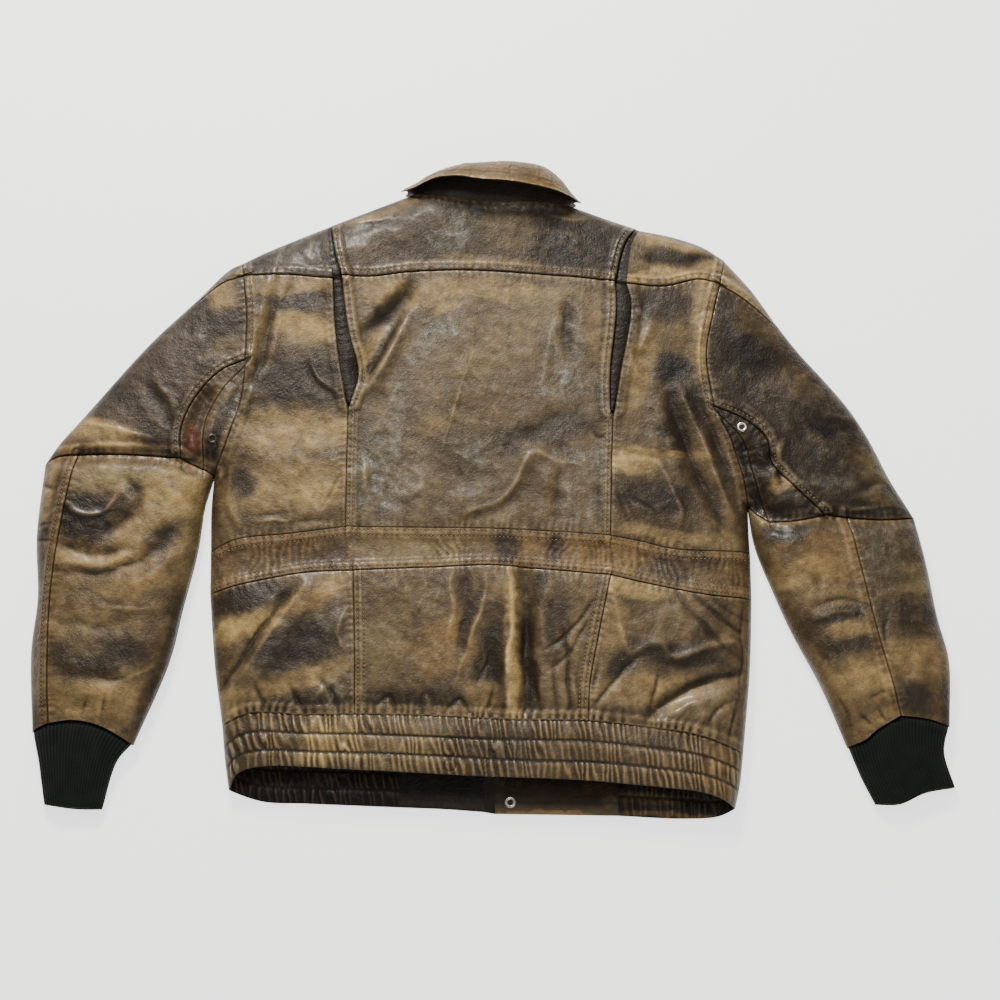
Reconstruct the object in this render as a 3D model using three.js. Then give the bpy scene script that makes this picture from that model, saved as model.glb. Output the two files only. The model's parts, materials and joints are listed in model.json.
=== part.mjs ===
// A worn leather blouson laid face down, its back upwards and its sleeves spread.
// Millimetres, +Z up. +Y points to the collar and -X is the wearer's left side.
// Every panel is a thin wall over a plan: the back shell arches up from a rolled edge,
// and the front shell lies flat beneath it, so the garment is hollow between them.
import * as THREE from "three";

// ---- Driving dimensions ----
const WALL = 2; // leather with its interlining
const HALF_GAP = 0.15; // each piece stops this far short of a seam line
const RIM = 13; // height at which back and front meet round the rolled edge
const ROLL_BACK = 52; // distance from the edge at which the back is at full height
const ROLL_FRONT = 18; // distance from the edge at which the front is down flat
const LOFT = 36; // height of the back over the surface
const INLAY_DROP = 2; // the pleat inlays lie this much lower
const CUFF_START = 26; // height of a rib cuff where it leaves the sleeve
const CUFF_END = 17; // and at its open end
const CUFF_WALL = 2.5;
const HARDWARE_LIFT = 0.5; // air under an eyelet or a snap
const CROWDING = 1.9; // power that draws steps towards a rolled edge
const CENTRE = [-3.23, 10.04]; // plan centre of the whole garment
const COLOURS = {
  tan: 0x8c7044, olive: 0x64523a, dark: 0x483c2d, stand: 0x503e34,
  facing: 0x3c372d, rib: 0x10120c, metal: 0xc8beb4,
};

// ---- Plan of one half: its rolled edges, then its seams, each from the outside inwards or
// from the collar down. The two halves differ as the garment lies. ----
const LEFT = {
  shoulderIn: [[-94, 350], [-143, 330], [-184, 313]],
  pleatTop: [[-184, 313], [-188, 311]],
  shoulderOut: [[-188, 311], [-228, 294], [-259, 280], [-284, 267]],
  sleeveTop: [[-284, 267], [-298, 260], [-336, 221]],
  upperOut: [[-336, 221], [-386, 170], [-456, 84], [-482, 52], [-496, 30]],
  foreOut: [[-496, 30], [-501, -53], [-496, -121], [-500, -180], [-494, -268]],
  foreIn: [[-308, 16], [-317, -20], [-323, -68], [-337, -132], [-350, -192], [-385, -282]],
  sideHigh: [[-308, 16], [-310, -24], [-309, -71]],
  sideStrip: [[-309, -71], [-308, -118]],
  sideLow: [[-308, -118], [-300, -198], [-290, -262]],
  sideHem: [[-290, -262], [-286, -298], [-281, -330]],
  armholeTop: [[-284, 267], [-280, 247]],
  armholeMid: [[-280, 247], [-275, 200], [-275, 146]],
  armholeLow: [[-275, 130], [-279, 98], [-297, 40], [-308, 16]],
  gussetHeadUpper: [[-275, 146], [-275, 138]],
  gussetHeadLower: [[-275, 138], [-275, 130]],
  gussetArc: [[-275, 146], [-301, 134], [-328, 105], [-344, 68], [-344, 34]],
  gussetRidge: [[-275, 138], [-300, 109], [-318, 74], [-319, 22]],
  stripSeam: [[-280, 247], [-307, 238], [-334, 217]],
  stripEnd: [[-334, 217], [-336, 221]],
  elbowOut: [[-496, 30], [-482, 37], [-458, 38]],
  elbowMid: [[-458, 38], [-400, 38], [-344, 34]],
  elbowGusset: [[-344, 34], [-319, 22]],
  elbowPit: [[-319, 22], [-308, 16]],
  foreSeam: [[-458, 38], [-470, -30], [-480, -120], [-476, -260]],
  cuffLineOut: [[-494, -268], [-484, -263], [-476, -260]],
  cuffLineIn: [[-476, -260], [-448, -257], [-420, -263], [-385, -282]],
  cuffOut: [[-494, -268], [-486, -300], [-478, -345]],
  cuffIn: [[-385, -282], [-402, -300], [-416, -350]],
  cuffEnd: [[-478, -345], [-448, -349], [-416, -350]],
  pleatFoot: [[-162, 96], [-157, 96]],
  pleatSideHigh: [[-188, 311], [-184, 270], [-180, 242]],
  pleatBackHigh: [[-184, 313], [-178, 275], [-170, 245]],
  pleatSideLow: [[-180, 242], [-175, 173], [-162, 96]],
  pleatBackLow: [[-170, 245], [-161, 180], [-149, 130], [-157, 96]],
  backLow: [[-159.5, 90], [-160, 20], [-160, -46]],
  yokeSide: [[-280, 247], [-230, 247], [-180, 242]],
  stripTop: [[-309, -71], [-279, -60], [-220, -54], [-160, -46]],
  stripLow: [[-308, -118], [-277, -110], [-201, -96], [-151, -94]],
  lowerSeam: [[-151, -94], [-148, -180], [-147, -252]],
  hemTop: [[-290, -262], [-258, -251], [-200, -253], [-147, -252]],
  frontNeck: [[-94, 350], [-70, 322], [-9, 306]],
  frontCollar: [[-100, 354], [-83, 362], [-48, 370], [-9, 374]],
  frontHem: [[-290, -262], [-270, -282], [-200, -288], [-100, -290]],
  frontHemEnd: [[-100, -290], [-50, -291], [-9, -291]],
  frontLow: [[-281, -330], [-245, -341], [-200, -343], [-100, -347]],
  frontLowEnd: [[-100, -347], [-50, -349], [-9, -352]],
  eyelet: [-309, 54],
};
const RIGHT = {
  shoulderIn: [[89, 337], [130, 321], [163, 309]],
  pleatTop: [[163, 309], [167, 307]],
  shoulderOut: [[167, 307], [205, 299], [240, 286], [262, 271]],
  sleeveTop: [[262, 271], [292, 235], [317, 197]],
  upperOut: [[317, 197], [345, 158], [372, 126], [399, 91], [420, 54], [438, 14], [464, -32]],
  foreOut: [[464, -32], [475, -85], [484, -144], [494, -190], [491, -262]],
  foreIn: [[281, -20], [287, -62], [305, -112], [324, -158], [355, -221], [380, -285]],
  sideHigh: [[281, -20], [281, -46], [282, -73]],
  sideStrip: [[282, -73], [282, -124]],
  sideLow: [[282, -124], [278, -200], [268, -292]],
  sideHem: [[268, -292], [264, -323], [258, -350]],
  armholeTop: [[262, 271], [255, 236]],
  armholeMid: [[255, 236], [246, 201], [237, 150], [244, 92]],
  armholeLow: [[251, 76], [262, 54], [274, 16], [281, -20]],
  gussetHeadUpper: [[244, 92], [247.5, 84]],
  gussetHeadLower: [[247.5, 84], [251, 76]],
  gussetArc: [[244, 92], [283, 74], [302, 54], [308, 26], [330, 0], [363, -31]],
  gussetRidge: [[247.5, 84], [277, 50], [286, 16], [302, -38]],
  stripSeam: [[255, 236], [286, 216], [314, 193]],
  stripEnd: [[314, 193], [317, 197]],
  elbowOut: [[464, -32], [430, -36], [387, -34]],
  elbowMid: [[387, -34], [363, -31]],
  elbowGusset: [[363, -31], [333, -37], [302, -38]],
  elbowPit: [[302, -38], [281, -20]],
  foreSeam: [[387, -34], [401, -98], [416, -170], [437, -252]],
  cuffLineOut: [[491, -262], [464, -255], [437, -252]],
  cuffLineIn: [[437, -252], [410, -268], [398, -278], [380, -285]],
  cuffOut: [[491, -262], [484, -288], [494, -327]],
  cuffIn: [[380, -285], [393, -315], [408, -345]],
  cuffEnd: [[494, -327], [464, -332], [436, -344], [408, -345]],
  pleatFoot: [[135, 87], [130, 87]],
  pleatSideHigh: [[167, 307], [157, 284], [150, 236]],
  pleatBackHigh: [[163, 309], [148, 283], [137, 238]],
  pleatSideLow: [[150, 236], [155, 207], [142, 130], [135, 87]],
  pleatBackLow: [[137, 238], [138, 207], [130, 130], [130, 87]],
  backLow: [[132.5, 81], [130, 20], [128, -56]],
  yokeSide: [[255, 236], [232, 241], [193, 233], [150, 236]],
  stripTop: [[282, -73], [228, -73], [193, -70], [159, -62], [128, -56]],
  stripLow: [[282, -124], [238, -122], [170, -109], [128, -99]],
  lowerSeam: [[128, -99], [115, -160], [104, -220], [102, -259]],
  hemTop: [[268, -292], [219, -275], [156, -265], [102, -259]],
  frontNeck: [[89, 337], [62, 318], [3, 306]],
  frontCollar: [[95, 342], [78, 358], [57, 370], [3, 374]],
  frontHem: [[268, -292], [250, -304], [210, -296], [135, -291]],
  frontHemEnd: [[135, -291], [70, -291], [3, -291]],
  frontLow: [[258, -350], [240, -357], [202, -359], [135, -356]],
  frontLowEnd: [[135, -356], [70, -355], [3, -354]],
  eyelet: [275, 67],
};

// ---- Seams that cross the middle ----
const NECK = [[-94, 350], [-72, 345], [-36, 339], [-11, 336], [17, 335], [47, 336], [72, 335], [89, 337]];
const YOKE_SEAM = [[-170, 245], [-133, 245], [-95, 250], [-30, 252], [34, 248], [100, 243], [137, 238]];
const STRIP_TOP = [[-160, -46], [-80, -47], [0, -48], [91, -53], [128, -56]];
const STRIP_LOW = [[-151, -94], [-80, -91], [0, -88], [60, -93], [128, -99]];
const HEM_TOP = [[-147, -252], [-60, -254], [20, -258], [102, -259]];
const HEM_LOW = [[-281, -330], [-272, -315], [-245, -308], [-154, -311], [-20, -318], [100, -323],
  [177, -330], [225, -336], [246, -343], [258, -350]]; // the back hem's free edge, a little lifted
const SNAP = [19, -342];

// ---- Collar: plan and height together, along its fold and along its free lip ----
const COLLAR_FOLD = [[-99, 357, 14], [-83, 361, 24], [-68, 366, 32], [-48, 372, 38], [-26, 377, 42],
  [17, 379, 45], [39, 378, 44], [57, 375, 41], [74, 364, 34], [85, 351, 24], [94, 343, 14]];
const COLLAR_LIP = [[-105, 353, 19], [-90, 350, 36], [-76, 352, 50], [-62, 353, 60], [-40, 352, 67],
  [-11, 347, 70], [17, 345, 70], [46, 341, 67], [68, 339, 58], [84, 339, 42], [100, 339, 19]];
const FOLD_RADIUS = 5; // half the thickness of the turned collar at its fold
const COLLAR_BULGE = 9; // how far the leaf swells between its fold and its lip

// ---- Largest folds: a trough, or a ridge where depth is below zero, along a line ----
const FOLDS = [
  { along: [[-496, 34], [-440, 37], [-371, 36], [-325, 24]], depth: 9, reach: 11 },
  { along: [[290, -28], [304, -39], [350, -33], [388, -36], [460, -33]], depth: 9, reach: 11 },
  { along: [[276, 40], [281, 10], [292, -20]], depth: 8, reach: 12 },
  { along: [[-318, 100], [-332, 60], [-330, 36]], depth: 6, reach: 10 },
  { along: [[-95, 215], [-125, 175], [-146, 135]], depth: 5, reach: 12 },
  { along: [[-104, 176], [-130, 120]], depth: -3, reach: 9 },
  { along: [[35, -100], [36, -240]], depth: 5, reach: 11 },
  { along: [[14, -110], [16, -240]], depth: -3, reach: 10 },
  { along: [[177, -245], [262, -214]], depth: 5, reach: 10 },
  { along: [[-270, -236], [-200, -120]], depth: -3, reach: 14 },
  { along: [[-300, -94], [-160, -70], [0, -68], [128, -78], [275, -98]], depth: 4, reach: 26 },
  { along: [[-285, -256], [-147, -250], [102, -256], [262, -288]], depth: 4, reach: 12 },
  { along: [[-482, -262], [-440, -256], [-392, -276]], depth: 10, reach: 24 },
  { along: [[485, -260], [440, -250], [388, -284]], depth: 10, reach: 24 },
];

// ---- Curves ----
const LENGTH_STEPS = 400; // how finely a curve's length is measured

// Points at the given shares of a smooth curve's length.
function pointsAt(route, shares) {
  const points = route.map(([x, y, z = 0]) => new THREE.Vector3(x, y, z));
  const curve = new THREE.CatmullRomCurve3(points, false, "centripetal");
  curve.arcLengthDivisions = LENGTH_STEPS;
  return shares.map((share) => curve.getPointAt(share));
}

// Equal shares of a length, with both ends.
function even(count) {
  return Array.from({ length: count + 1 }, (_, i) => i / count);
}

// Shares that crowd towards the start, where an edge rolls over.
function crowded(count) {
  return even(count).map((share) => share ** CROWDING);
}

// The same shares counted from the other end.
function mirrored(shares) {
  return shares.map((share) => 1 - share).reverse();
}

function backwards(points) {
  return [...points].reverse();
}

// Runs of points laid end to end, where each run starts on the last point before it.
function joined(...runs) {
  return runs.reduce((all, run) => [...all, ...run.slice(1)]);
}

// ---- The rolled edge, and how far a point lies from it ----
const EDGE_STEPS = 24;
const TRUST_FROM = 0.5; // nearer than this the edge's own normal leads away from it
const TRUST_TO = 4; // and past this the step from its nearest point does
const STEEPEST = 1e-4; // least rise that a slope is divided by
const EDGES = [LEFT, RIGHT].flatMap((half) => {
  const turn = half === LEFT ? 1 : -1; // the side of the outer edge that is cloth
  return [
    [["shoulderIn", "pleatTop", "shoulderOut", "sleeveTop", "upperOut", "foreOut"], turn],
    [["foreIn"], -turn],
    [["sideHigh", "sideStrip", "sideLow", "sideHem"], turn],
  ].map(([names, side]) => {
    const fine = joined(...names.map((name) => pointsAt(half[name], even(EDGE_STEPS))));
    const inwards = fine.map((_, i) => {
      const before = fine[Math.max(i - 1, 0)];
      const after = fine[Math.min(i + 1, fine.length - 1)];
      const normal = new THREE.Vector2(before.y - after.y, after.x - before.x);
      return normal.normalize().multiplyScalar(side);
    });
    return { fine, inwards };
  });
});

// Distance from the nearest rolled edge, and the plan direction that leads away from it.
function fromEdge(x, y) {
  const best = { distance: Infinity, away: new THREE.Vector2() };
  for (const { fine, inwards } of EDGES) {
    for (let i = 1; i < fine.length; i++) {
      const a = fine[i - 1];
      const run = new THREE.Vector2(fine[i].x - a.x, fine[i].y - a.y);
      const share = ((x - a.x) * run.x + (y - a.y) * run.y) / run.lengthSq();
      const held = THREE.MathUtils.clamp(share, 0, 1);
      const step = new THREE.Vector2(x - a.x - held * run.x, y - a.y - held * run.y);
      const distance = step.length();
      if (distance >= best.distance) continue;
      best.distance = distance;
      best.away = inwards[i - 1].clone().lerp(inwards[i], held).normalize();
      const trust = THREE.MathUtils.smoothstep(distance, TRUST_FROM, TRUST_TO);
      best.away.lerp(step.divideScalar(Math.max(distance, 1e-6)), trust).normalize();
    }
  }
  return best;
}

// Height lost to the folds: each fades out over its reach, sideways and past its ends.
function foldDepth(x, y) {
  const here = new THREE.Vector3(x, y, 0);
  return FOLDS.reduce((depth, fold) => {
    const corners = fold.along.map(([cx, cy]) => new THREE.Vector3(cx, cy, 0));
    const distances = corners.slice(1).map((corner, i) => {
      const foot = new THREE.Vector3();
      new THREE.Line3(corners[i], corner).closestPointToPoint(here, true, foot);
      return foot.distanceTo(here);
    });
    return depth + fold.depth * Math.exp(-((Math.min(...distances) / fold.reach) ** 2));
  }, 0);
}

// A point of the back shell's outer face and its outward normal. The height rises from RIM
// along a quarter ellipse as the distance from the edge grows, then stays at LOFT less the folds.
function backFace(x, y, onEdge, drop = 0) {
  const { distance, away } = fromEdge(x, y);
  const share = onEdge ? 0 : Math.min(distance / ROLL_BACK, 1);
  const rise = Math.sqrt(1 - (1 - share) ** 2);
  const climb = LOFT - RIM - foldDepth(x, y) - drop;
  const slope = (climb * (1 - share)) / Math.max(rise, STEEPEST) / ROLL_BACK;
  return {
    point: new THREE.Vector3(x, y, RIM + HALF_GAP + climb * rise),
    normal: new THREE.Vector3(-away.x * slope, -away.y * slope, 1).normalize(),
  };
}

// The same for the front shell, which faces down: flat, and curling up to RIM at the edge.
function frontFace(x, y, onEdge) {
  const { distance, away } = fromEdge(x, y);
  const share = onEdge ? 0 : Math.min(distance / ROLL_FRONT, 1);
  const fall = Math.sqrt(1 - (1 - share) ** 2);
  const slope = ((RIM - HALF_GAP) * (1 - share)) / Math.max(fall, STEEPEST) / ROLL_FRONT;
  return {
    point: new THREE.Vector3(x, y, (RIM - HALF_GAP) * (1 - fall)),
    normal: new THREE.Vector3(-away.x * slope, -away.y * slope, -1).normalize(),
  };
}

// ---- From grids of points to closed walls ----

// Geometry with its faces turned outwards, judged by the sign of its volume.
function closedGeometry(points, faces) {
  let volume = 0;
  for (let i = 0; i < faces.length; i += 3) {
    const [a, b, c] = faces.slice(i, i + 3).map((corner) => points[corner]);
    volume += a.clone().cross(b).dot(c);
  }
  if (volume < 0) faces.reverse();
  const geometry = new THREE.BufferGeometry().setFromPoints(points);
  geometry.setIndex(faces);
  geometry.computeVertexNormals();
  return geometry;
}

// A closed wall between two grids of points with the same rows and columns. With ring set,
// the last column joins the first, as round a tube.
function wall(outer, inner, ring = false) {
  const rows = outer.length;
  const columns = outer[0].length;
  const at = (layer, row, column) => (layer * rows + row) * columns + (column % columns);
  const faces = [];
  const quad = (a, b, c, d) => faces.push(a, b, c, a, c, d);
  const last = ring ? columns : columns - 1;
  for (let c = 0; c < last; c++) {
    for (let r = 1; r < rows; r++) {
      quad(at(0, r - 1, c), at(0, r - 1, c + 1), at(0, r, c + 1), at(0, r, c));
      quad(at(1, r - 1, c), at(1, r, c), at(1, r, c + 1), at(1, r - 1, c + 1));
    }
    quad(at(0, 0, c), at(1, 0, c), at(1, 0, c + 1), at(0, 0, c + 1));
    quad(at(1, rows - 1, c + 1), at(1, rows - 1, c), at(0, rows - 1, c), at(0, rows - 1, c + 1));
  }
  for (let r = 1; r < rows && !ring; r++) {
    quad(at(0, r - 1, 0), at(0, r, 0), at(1, r, 0), at(1, r - 1, 0));
    quad(at(1, r, last), at(0, r, last), at(0, r - 1, last), at(1, r - 1, last));
  }
  return closedGeometry([...outer, ...inner].flat(), faces);
}

const STRAIGHT_ON = 0.17; // sine of the turn below which a corner counts as straight

// The place of an outline's corner once the lines before and after it are each shifted along
// their left normals. Where they run on almost straight, it moves along the mean normal.
function shifted(before, corner, after, shiftBefore, shiftAfter) {
  const normal = (a, b) => new THREE.Vector2(a.y - b.y, b.x - a.x).normalize();
  const n1 = normal(before, corner);
  const n2 = normal(corner, after);
  const cross = n1.x * n2.y - n1.y * n2.x;
  const place = new THREE.Vector2(corner.x, corner.y);
  if (shiftBefore === shiftAfter) {
    const reach = shiftBefore / (1 + n1.dot(n2));
    return place.addScaledVector(n1.add(n2), reach);
  }
  if (Math.abs(cross) < STRAIGHT_ON) {
    const widest = Math.abs(shiftBefore) > Math.abs(shiftAfter) ? shiftBefore : shiftAfter;
    return place.addScaledVector(n1.add(n2).normalize(), widest);
  }
  place.x += (shiftBefore * n2.y - shiftAfter * n1.y) / cross;
  place.y += (shiftAfter * n1.x - shiftBefore * n2.x) / cross;
  return place;
}

// Shares of its own length that each point of a run has reached, from 0 to 1.
function reached(points) {
  const lengths = [0];
  points.slice(1).forEach((point, i) => lengths.push(lengths[i] + point.distanceTo(points[i])));
  return lengths.map((length) => length / lengths.at(-1));
}

// A panel's plan as a net of points: foot and head run the same way, left and right both run
// from foot to head, and a Coons patch fills the net. A side draws back by HALF_GAP from its
// seam, except along the rolled edge, where the panel's points keep their place.
function panelNet({ foot, head, left, right }) {
  const columns = foot.length - 1;
  const rows = left.length - 1;
  const loop = [foot, right, backwards(head), backwards(left)].flatMap((run) => run.slice(0, -1));
  const onEdge = loop.map(({ x, y }) => fromEdge(x, y).distance < HALF_GAP / 2);
  const turn = Math.sign(loop.reduce((sum, point, i) => {
    const next = loop[(i + 1) % loop.length];
    return sum + point.x * next.y - point.y * next.x;
  }, 0));
  const drawn = loop.map((point, i) => {
    const before = (i + loop.length - 1) % loop.length;
    const after = (i + 1) % loop.length;
    const shiftBefore = onEdge[before] && onEdge[i] ? 0 : turn * HALF_GAP;
    const shiftAfter = onEdge[i] && onEdge[after] ? 0 : turn * HALF_GAP;
    const place = shifted(loop[before], point, loop[after], shiftBefore, shiftAfter);
    return Object.assign(place, { onEdge: onEdge[i] });
  });
  const run = (start, count) =>
    Array.from({ length: count + 1 }, (_, i) => drawn[(start + i) % drawn.length]);
  const low = run(0, columns);
  const far = run(columns, rows);
  const high = backwards(run(columns + rows, columns));
  const near = backwards(run(2 * columns + rows, rows));
  const lowShares = reached(low);
  const highShares = reached(high);
  const nearShares = reached(near);
  const farShares = reached(far);
  return near.map((_, r) => low.map((__, c) => {
    if (r === 0) return low[c];
    if (r === rows) return high[c];
    if (c === 0) return near[r];
    if (c === columns) return far[r];
    const u = (lowShares[c] * (rows - r) + highShares[c] * r) / rows;
    const v = (nearShares[r] * (columns - c) + farShares[r] * c) / columns;
    const blend = (axis) =>
      (1 - v) * low[c][axis] + v * high[c][axis] + (1 - u) * near[r][axis] + u * far[r][axis] -
      (1 - u) * (1 - v) * low[0][axis] - u * (1 - v) * low[columns][axis] -
      (1 - u) * v * high[0][axis] - u * v * high[columns][axis];
    return { x: blend("x"), y: blend("y"), onEdge: false };
  }));
}

// A panel's wall on the back shell or on the front shell.
function panel(plan, face = backFace, drop = 0) {
  const net = panelNet(plan).map((row) => row.map(({ x, y, onEdge }) => face(x, y, onEdge, drop)));
  const outer = net.map((row) => row.map(({ point }) => point));
  const inner = net.map((row) => row.map(({ point, normal }) =>
    point.clone().addScaledVector(normal, -WALL)));
  return wall(outer, inner);
}

// A wall through rows of points in space, its thickness laid behind them.
function ribbon(rows) {
  const inner = rows.map((row, r) => row.map((point, c) => {
    const along = row[Math.min(c + 1, row.length - 1)].clone().sub(row[Math.max(c - 1, 0)]);
    const up = rows[Math.min(r + 1, rows.length - 1)][c].clone().sub(rows[Math.max(r - 1, 0)][c]);
    return point.clone().addScaledVector(along.cross(up).normalize(), -WALL);
  }));
  return wall(rows, inner);
}

// ---- The group and its nodes ----
const jacket = new THREE.Group();
jacket.position.set(-CENTRE[0], -CENTRE[1], 0);

function add(name, geometry, colour, metalness = 0) {
  const roughness = metalness > 0 ? 0.3 : 0.5;
  const material = new THREE.MeshStandardMaterial({ color: COLOURS[colour], metalness, roughness });
  const mesh = new THREE.Mesh(geometry, material);
  mesh.name = name;
  jacket.add(mesh);
  return mesh;
}

// ---- How many steps each seam is drawn in ----
const SIDE = 5; // across a side panel
const NECK_STEPS = 6;
const SHOULDER_STEPS = 2;
const MIDDLE = NECK_STEPS + 2 * SHOULDER_STEPS; // across the centre back
const YOKE = 3; // down the yoke
const STRIP = 2; // down the waist strip
const LOWER = 5; // down the lower back
const HEM = 3; // down the hem band
const ARM_LOW = 5; // down each edge of the underarm gusset
const ARM_MID = 2;
const SIDE_HIGH = 2;
const PLEAT_LOW = 5;
const BACK_LOW = 5;
const FOREARM = 8;
const OUTER = 2; // across the outer forearm panel
const MID = 4;
const GUSSET = 2;

// The inner end of a pleat: from where the centre back meets the side panel up to a corner
// of the inlay.
function pleatEnd(half, corner) {
  return pointsAt([half.backLow[0], half.pleatFoot[corner]], [0, 1]);
}

function backSide(half) {
  const yokeSeam = pointsAt(half.yokeSide, even(SIDE));
  const yokeSide = panel({
    foot: yokeSeam,
    head: backwards(pointsAt(half.shoulderOut, even(SIDE))),
    left: backwards(pointsAt(half.armholeTop, crowded(YOKE))),
    right: backwards(pointsAt(half.pleatSideHigh, crowded(YOKE))),
  });
  const inlay = panel({
    foot: pointsAt(half.pleatFoot, [0, 1]),
    head: backwards(pointsAt(half.pleatTop, [0, 1])),
    left: joined(backwards(pointsAt(half.pleatSideLow, even(PLEAT_LOW))),
      backwards(pointsAt(half.pleatSideHigh, crowded(YOKE)))),
    right: joined(backwards(pointsAt(half.pleatBackLow, even(PLEAT_LOW))),
      backwards(pointsAt(half.pleatBackHigh, crowded(YOKE)))),
  }, backFace, INLAY_DROP);
  const side = panel({
    foot: pointsAt(half.stripTop, crowded(SIDE)),
    head: yokeSeam,
    left: joined(backwards(pointsAt(half.sideHigh, even(SIDE_HIGH))),
      backwards(pointsAt(half.armholeLow, even(ARM_LOW))),
      backwards(pointsAt(half.gussetHeadLower, [0, 1])),
      backwards(pointsAt(half.gussetHeadUpper, [0, 1])),
      backwards(pointsAt(half.armholeMid, even(ARM_MID)))),
    right: joined(backwards(pointsAt(half.backLow, even(BACK_LOW))), pleatEnd(half, 0),
      backwards(pointsAt(half.pleatSideLow, even(PLEAT_LOW)))),
  });
  const lower = panel({
    foot: pointsAt(half.hemTop, crowded(SIDE)),
    head: pointsAt(half.stripLow, crowded(SIDE)),
    left: backwards(pointsAt(half.sideLow, even(LOWER))),
    right: backwards(pointsAt(half.lowerSeam, even(LOWER))),
  });
  return { yokeSide, inlay, side, lower };
}

// A panel across the middle of the back, whose two edges follow the side panels' edges.
function centrePanel(foot, head, edge) {
  return panel({
    foot: pointsAt(foot, even(MIDDLE)),
    head: pointsAt(head, even(MIDDLE)),
    left: edge(LEFT),
    right: edge(RIGHT),
  });
}

function backYoke() {
  const toNeck = backwards(pointsAt(LEFT.shoulderIn, even(SHOULDER_STEPS)));
  const fromNeck = pointsAt(RIGHT.shoulderIn, even(SHOULDER_STEPS));
  const edge = (half) => backwards(pointsAt(half.pleatBackHigh, crowded(YOKE)));
  return panel({
    foot: pointsAt(YOKE_SEAM, even(MIDDLE)),
    head: joined(toNeck, pointsAt(NECK, even(NECK_STEPS)), fromNeck),
    left: edge(LEFT),
    right: edge(RIGHT),
  });
}

// A band across the whole back, between two seams that each run over three panels.
function band(foot, head, sideName, steps) {
  return panel({
    foot,
    head,
    left: backwards(pointsAt(LEFT[sideName], even(steps))),
    right: backwards(pointsAt(RIGHT[sideName], even(steps))),
  });
}

function acrossBack(name, middle) {
  return joined(pointsAt(LEFT[name], crowded(SIDE)), pointsAt(middle, even(MIDDLE)),
    backwards(pointsAt(RIGHT[name], crowded(SIDE))));
}

// The free edge of the hem, with the same steps as the seam above it.
function hemFoot() {
  const nearSide = 0.24; // share of the hem that lies below one side panel
  const ends = crowded(SIDE).map((share) => share * nearSide);
  const middle = even(MIDDLE).map((share) => nearSide + share * (1 - 2 * nearSide));
  return pointsAt(HEM_LOW, [...ends, ...middle.slice(1), ...mirrored(ends).slice(1)]);
}

for (const [side, half] of [["left", LEFT], ["right", RIGHT]]) {
  const pieces = backSide(half);
  add(`yoke_side_${side}`, pieces.yokeSide, "dark");
  add(`pleat_inlay_${side}`, pieces.inlay, "dark");
  add(`back_side_${side}`, pieces.side, "tan");
  add(`lower_back_${side}`, pieces.lower, "tan");
}
add("back_yoke", backYoke(), "olive");
add("back_centre", centrePanel(STRIP_TOP, YOKE_SEAM, (half) => joined(
  backwards(pointsAt(half.backLow, even(BACK_LOW))), pleatEnd(half, 1),
  backwards(pointsAt(half.pleatBackLow, even(PLEAT_LOW))))), "olive");
add("waist_strip",
  band(acrossBack("stripLow", STRIP_LOW), acrossBack("stripTop", STRIP_TOP), "sideStrip", STRIP), "tan");
add("lower_back_centre", centrePanel(HEM_TOP, STRIP_LOW, (half) =>
  backwards(pointsAt(half.lowerSeam, even(LOWER)))), "olive");
add("hem_band_back", band(hemFoot(), acrossBack("hemTop", HEM_TOP), "sideHem", HEM), "olive");

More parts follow.
